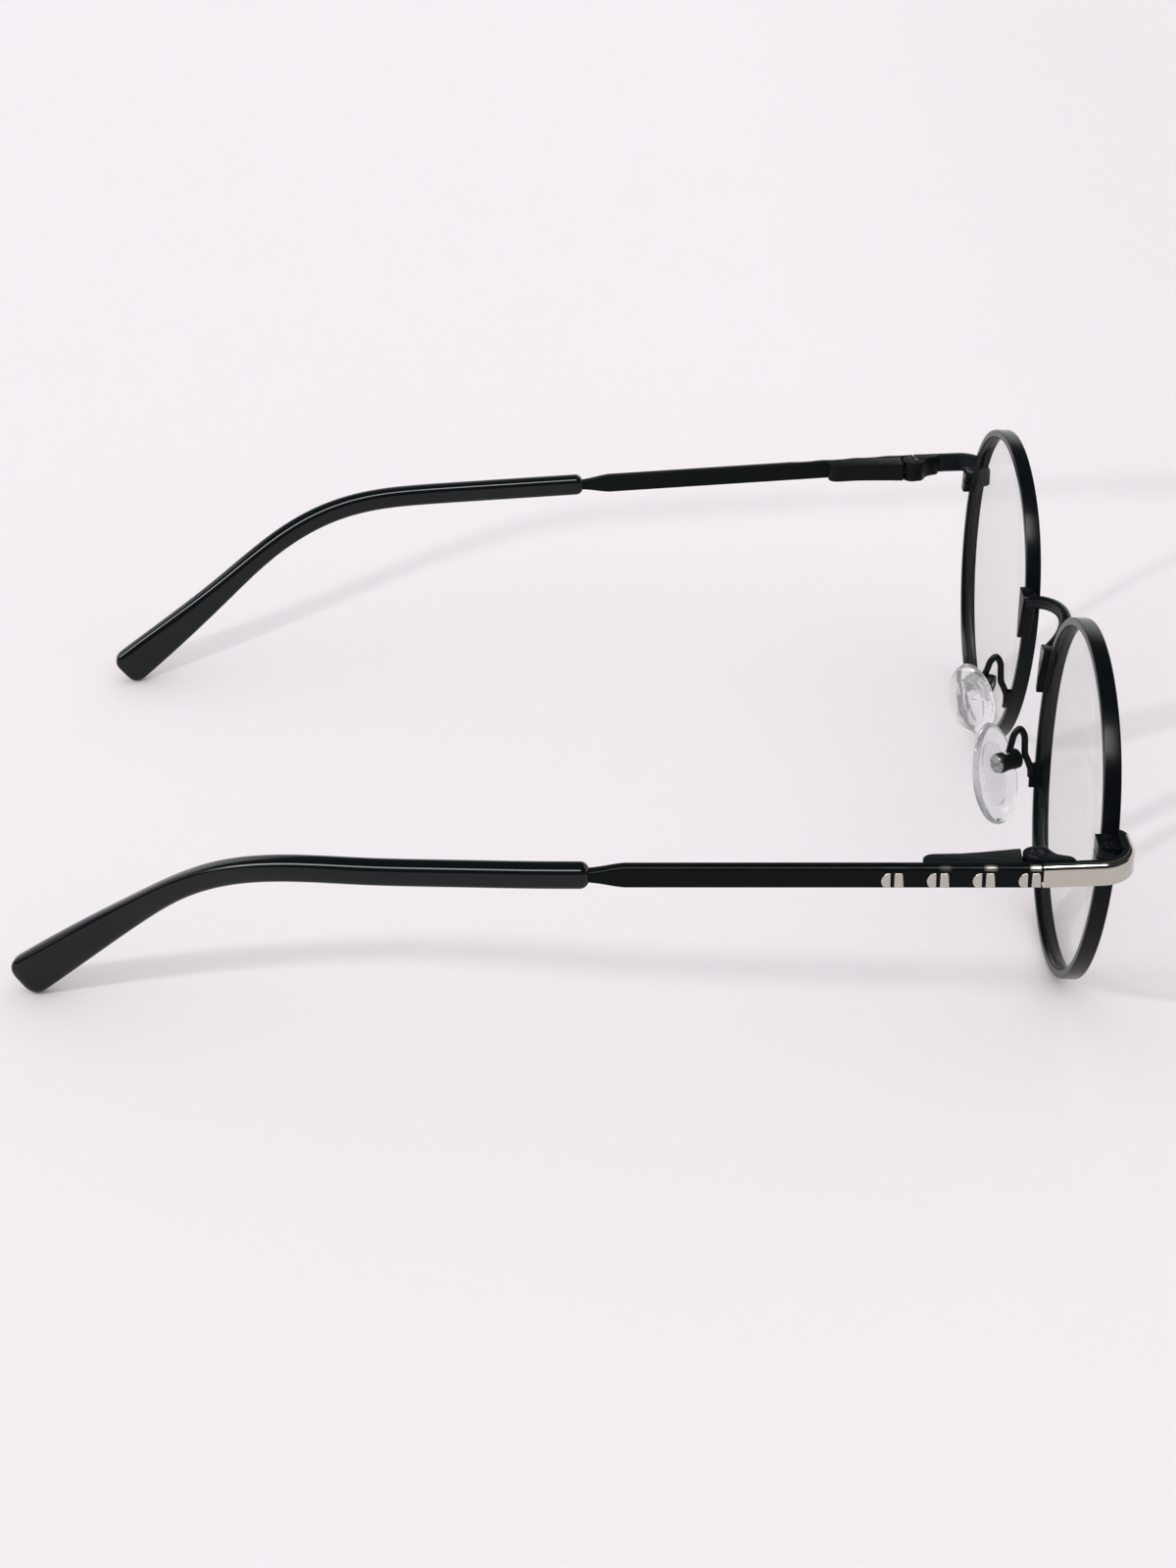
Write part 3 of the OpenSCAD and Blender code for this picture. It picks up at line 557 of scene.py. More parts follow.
def turnedMetal(name, kind):
    # Machined metal, mottled where the finish is thin
    light, dark, rough = paints[kind], paints[f"{kind}Dark"], turnedLook[f"{kind}Rough"]
    finish = Finish(name, Metallic=1.0)
    cloud = finish.noise(turnedLook["cloud"]).step(*turnedLook["cloudBand"])
    finish.set("Base Color", finish.blend(cloud, dark, light))
    finish.set("Roughness", rough + turnedLook["cloudRough"] * cloud)
    return finish.material


lensLook = {
    "rough": 0.03,
    "specular": 0.5,
    "wave": (30, 1),  # scale and detail
    "dark": (0.012, 0.012, 0.013, 1),
    "light": (0.02, 0.02, 0.022, 1),
    "alpha": 0.085,
    "alphaWave": 0.02,
}


def lensCoating():
    # A coated lens: mostly clear, a little grey, with a thin polish
    look = lensLook
    finish = Finish("coatedLens", Roughness=look["rough"])
    finish.set("Specular IOR Level", look["specular"])
    wave = finish.noise(*look["wave"])
    finish.set("Base Color", finish.blend(wave, look["dark"], look["light"]))
    finish.set("Alpha", look["alpha"] + look["alphaWave"] * wave)
    return finish.material


plasticLooks = {
    "clearPadPlastic": {
        "index": 1.42,
        "clear": 0.88,
        "cloud": 350,
        "rough": 0.05,
        "tint": (0.97, 0.975, 0.985, 1),
    },
    "padCorePlastic": {  # inside the pad, so its index is the step from one plastic to the other
        "index": 1.12,
        "clear": 0.94,
        "cloud": 500,
        "rough": 0.03,
        "tint": (0.99, 0.99, 0.995, 1),
    },
}
plasticCloud = {
    "tint": (0.985, 0.985, 0.99, 1),
    "band": (0.4, 0.8),
    "rough": 0.12,
    "flow": 700,
    "flowStretch": (1, 1, 0.25),
    "flowBump": (0.25, 0.0003),  # strength and depth
}


def clearPlastic(name):
    # Clear moulding with a slight milky cloud and faint flow marks
    look = plasticLooks[name]
    finish = Finish(name, **{"Transmission Weight": look["clear"], "IOR": look["index"]})
    cloud = finish.noise(look["cloud"])
    finish.set("Base Color", finish.blend(cloud, look["tint"], plasticCloud["tint"]))
    milky = cloud.step(*plasticCloud["band"])
    finish.set("Roughness", look["rough"] + plasticCloud["rough"] * milky)
    flow = finish.noise(plasticCloud["flow"], 2, plasticCloud["flowStretch"])
    finish.bump(flow, *plasticCloud["flowBump"])
    return finish.material


# Lens outline: arcs as centre x, centre y, radius, start and sweep, tangent where they meet
tight, flatter = lensShape["cornerTight"], lensShape["sideFlat"]
topA = lensShape["topArc"]
sideCos, sideSin = lensShape["sideSlope"]
sideA = math.degrees(math.acos(sideCos))
cornerR = halfWidth - tight
sideR = halfWidth + flatter
topR = cornerR + tight / math.sin(math.radians(topA))
bottomR = sideR - flatter / sideCos
topY = topR - tight / math.tan(math.radians(topA))
bottomY = -sideSin * flatter / sideCos - bottomR
widestY = round(-50 * (topY + bottomY)) / 100  # puts the outline's middle at 0, to the hundredth
arcs = np.array([
    [tight, widestY, cornerR, 0, 90 - topA],
    [0, widestY + topY - topR, topR, 90 - topA, 2 * topA],
    [-tight, widestY, cornerR, 90 + topA, 90 - topA],
    [flatter, widestY, sideR, 180, sideA],
    [0, widestY + bottomY + bottomR, bottomR, 180 + sideA, 180 - 2 * sideA],
    [-flatter, widestY, sideR, 360 - sideA, sideA]])
slitAngle = math.degrees(math.asin((rimShape["slitUp"] - widestY) / cornerR))
slitHalf = math.degrees(rimShape["slit"] / 2 / cornerR)


def outlineStations(gap, spacing):
    # Centre x, centre y, radius and angle of each station once round, from the lock's slit
    first, last = arcs[0].copy(), arcs[0].copy()
    first[3], first[4] = slitAngle + gap, arcs[0, 4] - slitAngle - gap
    last[4] = slitAngle - gap
    rows = []
    for cx, cy, r, start, sweep in (first, *arcs[1:], last):
        count = max(2, int(math.radians(sweep) * r / spacing))
        rows.append(stack(cx, cy, r, start + np.linspace(0, sweep, count, endpoint=False)))
    rows.append(np.array([[last[0], last[1], last[2], slitAngle - gap]]))
    return np.concatenate(rows)


def alongOutline(stations, profile):
    # Each profile point, as (out from the outline, forward), carried round it:
    # centre + (radius + out) * direction
    cx, cy, r, a = [v[:, None] for v in stations.T]
    c, s = np.cos(np.radians(a)), np.sin(np.radians(a))
    out, ahead = profile[:, 0][None], profile[:, 1][None]
    return stack(cx + (r + out) * c, cy + (r + out) * s, ahead)


def rimProfile():
    # Flat wire with soft edges and the lens groove in its inner side
    out, inside, groove = rimShape["out"], rimShape["inside"], rimShape["groove"]
    corners = [[out, -rimHalf], [out, rimHalf], [-inside, rimHalf], [-inside, groove],
        [groove - inside, 0], [-inside, -groove], [-inside, -rimHalf]]
    edge, inner, lip = rimShape["round"], rimShape["innerRound"], rimShape["lip"]
    return softPolygon(corners, [edge, edge, inner, lip, lip, lip, inner])


satin = blackEnamel("satinBlackEnamel")
rimSkin = alongOutline(outlineStations(slitHalf, rimShape["station"]), rimProfile())
bothSides("rimWire", "rim", [inRim(rimSkin)], satin, "front", "black_metal")
print("rims made")


def sag(r):
    # Depth of the lens curve at a distance from its middle: R - sqrt(R^2 - r^2)
    return lensShape["curveRadius"] - np.sqrt(lensShape["curveRadius"] ** 2 - r ** 2)


def lensSkin():
    # Front face, bevelled edge and back face as one run of rings. The faces follow a sphere,
    # bulging forwards
    stations = outlineStations(0, lensShape["station"])[:-1]
    edge = alongOutline(stations, np.array([[0.0, 0.0]]))[:, 0, :2]
    normal = stack(np.cos(np.radians(stations[:, 3])), np.sin(np.radians(stations[:, 3])))
    inner = edge - (rimShape["inside"] + lensShape["fit"]) * normal
    face = inner[None] * np.linspace(0.02, 1, 26)[:, None, None]
    curveEnd = halfWidth - lensShape["flatEdge"]
    lift = sag(curveEnd) - sag(np.minimum(curveEnd, np.linalg.norm(face, axis=-1)))
    half = lensShape["thickness"] / 2
    front = np.concatenate([face, (lift + half)[..., None]], -1)
    back = np.concatenate([face, (lift - half)[..., None]], -1)
    ahead = stack(inner[:, 0], inner[:, 1], lensShape["bevel"])[None]
    point = edge - lensShape["fit"] * normal
    point = stack(point[:, 0], point[:, 1], 0)[None]
    return np.concatenate([front, ahead, point, ahead * [1, 1, -1], back[::-1]])


lensSkins = [inRim(lensSkin())]
bothSides("lensBlank", "lens", lensSkins, lensCoating(), "front", "lens_clear", sharp=30)
print("lenses made")

bridgeShape = {
    "barR": 0.95,
    "bow": 3.9,  # how far the bar bows to the front
    "rise": 24.0,  # degrees by which its plane is raised
    "lap": 0.2,  # how far it runs into the feet
    "footLow": 3.3,
    "footHigh": 10.3,
    "footLean": 0.25,  # how much higher the foot stands beside the rim
    "footWide": 0.65,
    "footFlare": 0.75,
    "footBack": 1.95,
    "footFront": 0.1,
    "footSunk": 0.12,  # how far its rim side lies inside the wire
    "outlineSoft": 0.12,
    "soft": 0.16,
    "corner": 0.3,
}


def rimPoint(x, up, ahead):
    return inRim(np.array([x, up, ahead], float))


def bridgeBar():
    # An arc bowed to the front between the feet, its plane raised, carried by a circle
    wide = bridgeShape["footWide"] + bridgeShape["footFlare"] / 2
    up = bridgeShape["footHigh"] - bridgeShape["barR"]
    footAt = rimPoint(-halfWidth - rimShape["out"] - wide, up, -bridgeShape["footBack"] / 2)
    half, bow = footAt[0] + bridgeShape["lap"], bridgeShape["bow"]
    bend = (half ** 2 + bow ** 2) / (2 * bow)
    reach = math.asin(half / bend)
    a = np.linspace(-reach, reach, 61) - np.pi / 2
    flat = stack(bend * np.cos(a), bend - bow + bend * np.sin(a), 0)
    raised = spin(flat, "x", -bridgeShape["rise"]) + [0, footAt[1], footAt[2]]
    return tube(raised, bridgeShape["barR"], 32, (0, 0, 1.0))


def bridgeFoot():
    # Plate in the rim's plane: its rim side lies on the wire, its nasal side leans outwards
    # and its top falls away from the rim
    low, high, corner = bridgeShape["footLow"], bridgeShape["footHigh"], bridgeShape["corner"]
    up = np.linspace(low, high + bridgeShape["footLean"], 13)
    wireR = cornerR + rimShape["out"] - bridgeShape["footSunk"]
    onWire = stack(-tight - np.sqrt(wireR ** 2 - (up - widestY) ** 2), up)
    lowX = -halfWidth - rimShape["out"] - bridgeShape["footWide"]
    highX = lowX - bridgeShape["footFlare"]
    nasal = [[highX + corner, high], [highX, high - corner], [lowX, low + corner],
        [lowX + corner, low]]
    outline = softPolygon(np.concatenate([onWire, nasal]), bridgeShape["outlineSoft"], 3)
    back, front = -bridgeShape["footBack"], -bridgeShape["footFront"]
    return softPrism(outline, back, front, bridgeShape["soft"])


feet = [inWorld(inRim(bridgeFoot()), sign) for sign in sides.values()]
piece = meshPiece("bridgeBar", [inWorld(bridgeBar(), 1)] + feet)
finishPiece(piece, satin, "front", "black_metal", "bridge")
print("bridge made")

padShape = {
    "armDrop": 7.6,  # the arm's root below the lens centre
    "armR": 0.49,
    "baseThick": 0.75,
    "baseSunk": 0.1,  # how far the base reaches into the wire
    "baseIn": 0.3,  # its width inside the lens outline
    "baseOut": 0.5,  # and outside it
    "baseSoft": [0.2, 0.2, 0.02, 0.02],  # its corners, back and front
    "baseFrom": -1.8,  # degrees round the side arc, from the arm's root
    "baseSweep": 7.5,
    "screwAt": [0.75, 4.15, 1.65],  # from the arm's root
    "splay": 30.0,
    "lean": 20.0,
    "length": 15.0,
    "width": 7.6,
    "thickness": 2.4,
    "edge": 0.45,  # thickness of the rounding at the back
    "topNarrow": 0.12,
    "cupR": 1.45,
    "gap": 0.3,
    "offset": [0.9, -1.9],  # the pad's middle along the screw and below it
}
armAngle = math.asin((padShape["armDrop"] + widestY) / sideR)
armRoot = rimPoint(flatter - sideR * math.cos(armAngle), -padShape["armDrop"], -rimHalf)
padScrew = armRoot + padShape["screwAt"]
# Wire points from the arm's root: outwards, back and up
armRoute = np.array([[0.1, 0.5, -1.2], [0, 0.62, 0], [-0.1, 1.1, 1.2], [-0.12, 1.6, 2.3],
    [-0.12, 1.78, 3.8], [-0.12, 1.98, 5.3], [-0.1, 2.7, 6.3], [0, 3.45, 5.5], [0.2, 3.75, 4.2],
    [0.6, 4.05, 2.9]])


def inPad(p):
    return spin(spin(p, "y", -padShape["lean"]), "z", -padShape["splay"]) + padScrew


def armBase():
    # Curved plate on the rim's back: a soft rectangle carried round the side arc
    start = 180 + math.degrees(armAngle) + padShape["baseFrom"]
    a = np.radians(start + np.linspace(0, padShape["baseSweep"], 12))[:, None]
    near, far = sideR - padShape["baseIn"], sideR + padShape["baseOut"]
    back, front = -rimHalf - padShape["baseThick"], padShape["baseSunk"] - rimHalf
    corners = [[near, back], [far, back], [far, front], [near, front]]
    r, ahead = softPolygon(corners, padShape["baseSoft"], 5).T[:, None]
    return stack(flatter + r * np.cos(a), widestY + r * np.sin(a), ahead)


armSkins = [tube(armRoot + spline(armRoute, 10), padShape["armR"], 20), inRim(armBase())]
bothSides("padArmWire", "pad_arm", armSkins, satin, "front", "black_metal")
print("pad arms made")


def padSkin():
    # Rings of an egg whose width narrows a little towards the top: a shallow recess and rim line
    # on the back, as (share of the outline, place from the back), then round the edge and over
    # the dome that meets the nose, where the share is cos^0.7 and the depth goes with sin^1.5
    half, edge = padShape["thickness"] / 2, padShape["edge"]
    back = np.array([[0.04, -0.12], [0.5, -0.12], [0.74, -0.12], [0.79, -0.09], [0.82, -0.02],
        [0.86, 0], [0.91, -0.04], [0.96, -0.17], [0.99, -0.35]]) + [0, half]
    t = np.radians(np.linspace(8, 88, 16))
    dome = stack(np.cos(t) ** 0.7, half - edge - (2 * half - edge) * np.sin(t) ** 1.5)
    scale, x = np.concatenate([back, dome]).T[:, :, None]
    a = np.linspace(0, 2 * np.pi, 72, endpoint=False)
    wide = padShape["width"] / 2 * np.cos(a) * (1 - padShape["topNarrow"] * np.sin(a))
    high = padShape["length"] / 2 * np.sin(a)
    centre = np.array([-padShape["cupR"] - padShape["gap"] - half, *padShape["offset"]])
    return centre + stack(x, scale * wide, scale * high)


padSkins, padPlastic = [inPad(padSkin())], clearPlastic("clearPadPlastic")
bothSides("padCushion", "nose_pad", padSkins, padPlastic, "pad", "pad_clear", sharp=50)
print("nose pads made")

endShape = {
    "height": 2.95,
    "thick": 1.4,
    "corner": 4.6,  # radius of the outer face's turn
    "front": 1.8,  # the leg's front face before the lens centres
    "shoulder": 0.8,
    "back": -0.45,  # end of the side, from the pin
    "lap": 0.85,  # how far the front leg reaches in past the rim's widest point
    "tipR": 1.2,
    "tipFace": 0.02,  # flat share of the leg's free end
    "soft": 0.12,
}


def shoulderProfile(thick, height, shoulder, soft):
    # Across from the inner face and up from the middle, the outer top edge widely rounded
    corners = [[0, -height / 2], [thick, -height / 2], [thick, height / 2], [0, height / 2]]
    return softPolygon(corners, [soft, soft, shoulder, soft], 8)


def endSkin():
    # The profile carried along the front leg, a quarter turn and the side. On the leg's free end
    # the outer face follows a quarter round: thick - tipR + sqrt(tipR^2 - (tipR - distance)^2)
    thick, corner, tipR = endShape["thick"], endShape["corner"], endShape["tipR"]
    q = shoulderProfile(thick, endShape["height"], endShape["shoulder"], endShape["soft"])
    out, up = q.T[:, None]
    centreX = hingeShape["inside"] - corner
    centreY = corner - endShape["front"] - hingeShape["back"]
    legLength = centreX + hingeAt[0] - rimSideX + endShape["lap"]
    roundEnd = tipR * (1 - np.cos(np.linspace(0, np.pi / 2, 10)))
    fromEnd = np.concatenate([roundEnd, [0.5 * legLength, 0.75 * legLength]])[:, None]
    short = np.maximum(0, tipR * (1 - endShape["tipFace"]) - fromEnd)
    outer = thick - tipR + np.sqrt(tipR ** 2 - short ** 2)
    reach = outer * out / thick + corner - thick
    around = out + corner - thick
    turn = np.radians(np.linspace(0, 90, 28))[:, None]
    run = np.linspace(0, endShape["back"] - centreY, 9)[1:, None]
    legs = [stack(centreX - legLength + fromEnd, centreY - reach, up),
        stack(centreX + around * np.sin(turn), centreY - around * np.cos(turn), up),
        stack(centreX + around, centreY + run, up)]
    skin = np.concatenate(legs)
    plated = (np.arange(len(skin)) > len(roundEnd) - 2)[:, None, None]  # the free end is enamelled
    return skin, q * 0.1 * np.where(plated, 1, [0, 1])


endPoints, endMap = endSkin()
bothSides("endPieceWrap", "end_piece", [inEnd(endPoints)], endPieceFinish(), "front",
    "silver_metal", maps=[endMap])
print("end pieces made")

bladeShape = {
    "height": 2.85,
    "thick": 1.35,
    "shoulder": 0.62,
    "shoulderAtBands": 0.88,
    "soft": 0.12,
    "front": -0.39,  # from the pin
    "neckStart": 49.8,
    "neckLength": 4.6,
    "neckHeight": 1.5,
    "neckThick": 1.25,
    "neckEase": 0.2,
    "neckWave": 0.04,
    "neckLap": 0.1,  # share of the neck's length that runs on inside the tip
}
bandShape = {
    "pairs": 4,
    "pitch": 5.5,
    "width": 1.15,
    "gap": 0.44,
    "high": 1.95,
    "foot": 0.1,  # above the blade's lower edge
    "proud": 0.1,
    "sunk": 0.25,
    "edge": 0.07,
    "shoulderReach": 1.75,  # how far from a pair's middle the blade's shoulder is wider
}
bladeU = hingeShape["inside"] - bladeShape["thick"] / 2
neckEnd = bladeShape["neckStart"] + bladeShape["neckLength"]


def bladeSkin():
    # The shoulder profile carried back. The shoulder widens at each pair of bands by exp(-u^4),
    # and past the neck's start height and thickness shrink in a straight line, eased by a sine
    thick, height = bladeShape["thick"], bladeShape["height"]
    plain, wide = [shoulderProfile(thick, height, bladeShape[shoulder], bladeShape["soft"])
        for shoulder in ("shoulder", "shoulderAtBands")]
    front, neckStart, neckLength = [bladeShape[k] for k in ("front", "neckStart", "neckLength")]
    bandsEnd = front + bandShape["pairs"] * bandShape["pitch"]
    v = np.concatenate([np.linspace(front, bandsEnd, 120), np.linspace(bandsEnd, neckStart, 24)[1:],
        neckStart + neckLength * np.linspace(0.04, 1 + bladeShape["neckLap"], 24)])[:, None]
    firstMiddle = front + bandShape["width"] + bandShape["gap"] / 2
    pairMiddle = firstMiddle + bandShape["pitch"] * np.arange(bandShape["pairs"])
    bulge = np.exp(-((v - pairMiddle) / bandShape["shoulderReach"]) ** 4).sum(1)[:, None, None]
    q = plain + (wide - plain) * bulge
    ease = bladeShape["neckEase"]
    t = np.clip((v - neckStart - ease) / (neckLength - 2 * ease), 0, 1)
    t = t - bladeShape["neckWave"] * np.sin(2 * np.pi * t)
    high = 1 + (bladeShape["neckHeight"] / height - 1) * t
    thin = 1 + (bladeShape["neckThick"] / thick - 1) * t
    skin = stack(bladeU + (q[..., 0] - thick / 2) * thin, v, q[..., 1] * high)
    return skin, stack(v, q[..., 1]) * 0.1


def bandSkins():
    # Pairs of plates on the outer face, drawn as shares of their length and height: the front
    # one nearly square, the rear one bulging to the back
    frontOne = [[0, 0], [1, 0], [0.97, 0.93], [0.9, 1], [0.2, 1], [0.1, 0.93]]
    rearOne = [[0, 0], [0.68, 0], [0.92, 0.2], [1, 0.45], [0.9, 0.7], [0.62, 0.9], [0.3, 1], [0, 1]]
    width, pitch, edge = bandShape["width"], bandShape["pitch"], bandShape["edge"]
    face = bladeShape["thick"] / 2
    skins = []
    for k in range(bandShape["pairs"]):
        for back, shares in enumerate((frontOne, rearOne)):
            start = bladeShape["front"] + k * pitch + back * (width + bandShape["gap"])
            corner = [start, bandShape["foot"] - bladeShape["height"] / 2]
            outline = softPolygon(np.array(shares) * [width, bandShape["high"]] + corner, edge, 5)
            rows = softPrism(outline, face - bandShape["sunk"], face + bandShape["proud"], edge, 4)
            skins.append(stack(bladeU + rows[..., 2], rows[..., 0], rows[..., 1]))
    return skins


tipShape = {
    "height": 3.05,
    "thick": 2.9,
    "wide": 6.0,  # height of the section at the end
    "power": 3.4,  # how square the section is
    "dip": -0.5,  # degrees down and in at which the tip leaves the blade,
    "toe": 1.2,
    "settle": 12.0,  # reached over this length
    "down": 35.4,  # the bend behind the ear
    "bendStart": 81.8,
    "bend": 35.0,
    "toeIn": 17.5,
    "toeStart": 74.8,
    "toeOut": 13.0,
    "toeBack": 106.3,
    "toeLength": 29.0,
    "flareStart": 106.3,
    "nose": 1.3,
    "noseFace": 0.2,  # flat share of the nose
    "end": 2.6,
    "endFace": 0.13,  # flat share of the end
    "endRound": 0.9,
    "station": 0.9,
}


def tipSkin():
    # A squircle carried along a path whose dip and toe angles ease in, growing towards its end
    t, length = tipShape, templeShape["length"]

    def turns(s):
        settle = smooth((s - neckEnd) / t["settle"])
        dip = t["dip"] * settle + (t["down"] - t["dip"]) * smooth((s - t["bendStart"]) / t["bend"])
        toe = t["toe"] * settle + t["toeIn"] * smooth((s - t["toeStart"]) / t["toeLength"])
        toe -= t["toeOut"] * smooth((s - t["toeBack"]) / t["toeLength"])
        return np.radians(dip), np.radians(toe)

    steps = round((length - neckEnd) / t["station"])
    step = (length - neckEnd) / steps
    s = neckEnd + step * np.arange(steps + 1)
    dip, toe = turns(s[1:] - step / 2)
    moves = step * stack(-np.sin(toe) * np.cos(dip), np.cos(toe) * np.cos(dip), -np.sin(dip))
    line = [bladeU, neckEnd, 0] + np.concatenate([[[0, 0, 0]], np.cumsum(moves, 0)])
    fine = np.concatenate([neckEnd + t["nose"] * (1 - np.cos(np.linspace(0, np.pi / 2, 12)))[:-1],
        np.linspace(neckEnd + t["nose"], length - t["end"], 130),
        length - t["end"] + t["end"] * np.sin(np.linspace(0, np.pi / 2, 20))[1:]])
    line = np.stack([np.interp(fine, s, line[:, k]) for k in range(3)], -1)[:, None]
    dip, toe = turns(fine)
    upward = stack(-np.sin(toe) * np.sin(dip), np.cos(toe) * np.sin(dip), np.cos(dip))[:, None]
    across = stack(np.cos(toe), np.sin(toe), 0)[:, None]
    nose = np.minimum(1, t["noseFace"] + (fine - neckEnd) / t["nose"])
    end = np.minimum(1, t["endFace"] + (length - fine) / t["end"])
    taper = np.sqrt(1 - (1 - nose) ** 2) * np.sqrt(1 - t["endRound"] * (1 - end) ** 3)
    grow = smooth((fine - t["flareStart"]) / (length - t["flareStart"] + 1.5 * t["end"]))
    high = (t["height"] + (t["wide"] - t["height"]) * grow) * taper
    a = np.linspace(0, 2 * np.pi, 72, endpoint=False)
    x, z = [np.sign(v) * np.abs(v) ** (2 / t["power"]) / 2 for v in (np.cos(a), np.sin(a))]
    thick = t["thick"] * taper
    return line + (thick[:, None] * x)[..., None] * across + (high[:, None] * z)[..., None] * upward


bladePoints, bladeMap = bladeSkin()
blade, tip = [inTemple(bladePoints)], [inTemple(tipSkin())]
bands = [inTemple(band) for band in bandSkins()]
worn, acetate, silver = bladeEnamel(), tipAcetate(), platedSilver()
for side in sides:
    sidePiece(side, "templeBlade", "temple", blade, worn, "temple", "black_metal", maps=[bladeMap])
    sidePiece(side, "templeBands", "temple_bands", bands, silver, "temple", "silver_metal")
    sidePiece(side, "templeTip", "temple_tip", tip, acetate, "temple", "tip_plastic", sharp=50)
print("temples made")

# Small machined parts: copies of the solids whose edges are broken. The last number is the edge
# in millimetres
hingeBlack = blackEnamel("hingeEnamel")
screwBlack, steel = turnedMetal("blackenedScrew", "screw"), turnedMetal("turnedSteel", "steel")
smallParts = {
    "hinge_leaf": ("hingeLeafPlate", hingeBlack, "front", "hinge_metal", 0.14),
    "spring_housing": ("springHousingShell", hingeBlack, "temple", "hinge_metal", 0.22),
    "hinge_slider": ("sliderKnuckle", hingeBlack, "slider", "hinge_metal", 0.05),
    "rim_lock": ("lockBlocks", satin, "front", "black_metal", 0.22),
    "pad_cup": ("padCupBarrel", hingeBlack, "front", "black_metal", 0.14),
}
screwSets = {
    "rim_lock_screws": ("lockScrews", screwBlack, 0.04),
    "hinge_screws": ("hingeScrews", screwBlack, 0.05),
    "pad_screws": ("padScrews", steel, 0.06),
}
edgeShape = {
    "merge": 2e-6,  # metres
    "flat": 0.4,  # degrees under which two faces count as one
    "corner": 32,  # degrees over which an edge is broken
    "segments": 3,
}


def brokenEdges(node, name, edge):
    # A copy of a solid's mesh: doubles merged, flat faces joined, its corners rounded by a bevel
    mesh = frame["nodes"][node].data.copy()
    mesh.name = name
    work = bmesh.new()
    work.from_mesh(mesh)
    bmesh.ops.remove_doubles(work, verts=work.verts, dist=edgeShape["merge"])
    flat = math.radians(edgeShape["flat"])
    bmesh.ops.dissolve_limit(work, angle_limit=flat, verts=work.verts, edges=work.edges)
    work.to_mesh(mesh)
    work.free()
    mesh.polygons.foreach_set("use_smooth", np.ones(len(mesh.polygons), bool))
    piece = bpy.data.objects.new(name, mesh)
    scene.collection.objects.link(piece)
    bevel = piece.modifiers.new("brokenEdge", "BEVEL")
    bevel.width, bevel.segments = edge * 0.001, edgeShape["segments"]
    bevel.limit_method, bevel.angle_limit = "ANGLE", math.radians(edgeShape["corner"])
    bevel.harden_normals = True
    return piece


for stem, (name, material, body, slotName, edge) in smallParts.items():
    for side in sides:
        piece = brokenEdges(f"{stem}_{side}", f"{name}_{side}", edge)
        finishPiece(piece, material, sideBody(body, side), slotName, f"{stem}_{side}")
for node, (name, material, edge) in screwSets.items():
    finishPiece(brokenEdges(node, name, edge), material, "front", "steel_screw", node)
print("small parts made")

# Inner solids that keep their shape
for stem, material in {"pad_core": clearPlastic("padCorePlastic"), "hinge_spring": steel}.items():
    for side in sides:
        data = frame["nodes"][f"{stem}_{side}"].data
        data.materials.clear()
        data.materials.append(material)
print("inner solids finished")

# Table top and light, in metres. The lamp stands close by, so the table's paint makes up for the
# way its light falls off
lightShape = {
    "table": (0.855, 0.807, 0.839),
    "tableHalf": 2.0,
    "tableRough": 0.75,
    "tableSpecular": 0.1,
    "tableCloud": (14, 0.01),  # scale and strength
    "paintedTableShade": 0.05,  # painted shade: how much darker the table's paint gets in front of the part,
    "shadeFrom": -0.05,  # from this place on
    "shadeOver": 0.125,  # and over this distance
    "lampAt": (-0.127, 0.139, 0.116),
    "lampSize": 0.016,
    "lampShare": 0.15,  # of the light on the table's middle
    "level": 1.06,
    "sky": 0.86,  # soft light from above
    "skyTint": (0.99, 0.995, 1.0, 1),
    "horizon": (-0.1, 0.05),  # where it begins
    "wall": 0.05,  # what gloss and metal see of the room: dark walls,
    "farWall": 0.95,  # a pale low wall on the far side,
    "farWallFrom": (0.0, 0.3),
    "farWallTop": (0.3, 0.42),
    "skylight": 16.0,  # and a long skylight that runs along the temples
    "skylightLean": 0.26,  # how far it leans to the near side
    "skylightHalf": (0.02, 0.05),  # square of half its width, where it fades
    "skylightLow": (0.1, 0.2),
    "skylightFrom": (-0.28, -0.18),
    "skylightTo": (0.86, 0.96),
}


def standing(x, y, z, place):
    # Matrix of a lamp or camera at a place, from the directions of its axes. It looks along -z
    return Matrix([[x[k], y[k], z[k], place[k]] for k in range(3)] + [[0, 0, 0, 1]])


def deskLamp():
    # A small square lamp facing the part, whose light is as strong far off as near by
    place = np.array(lightShape["lampAt"])
    back = place / np.linalg.norm(place)
    level = np.cross([0, 0, 1], back)
    level /= np.linalg.norm(level)
    light = bpy.data.lights.new("deskLamp", "AREA")
    light.shape, light.size = "SQUARE", lightShape["lampSize"]
    light.energy = lightShape["level"] * lightShape["lampShare"] * math.pi ** 2 / back[2]
    light.use_nodes = True
    shader = Shader(light.node_tree)
    falloff = shader.node("ShaderNodeLightFalloff", Strength=1.0)
    emission = shader.node("ShaderNodeEmission", Strength=falloff.outputs["Constant"])
    shader.node("ShaderNodeOutputLight", Surface=emission.outputs[0])
    lamp = bpy.data.objects.new("deskLamp", light)
    lamp.matrix_world = standing(level, np.cross(back, level), back, place)
    lamp.visible_glossy = False
    scene.collection.objects.link(lamp)


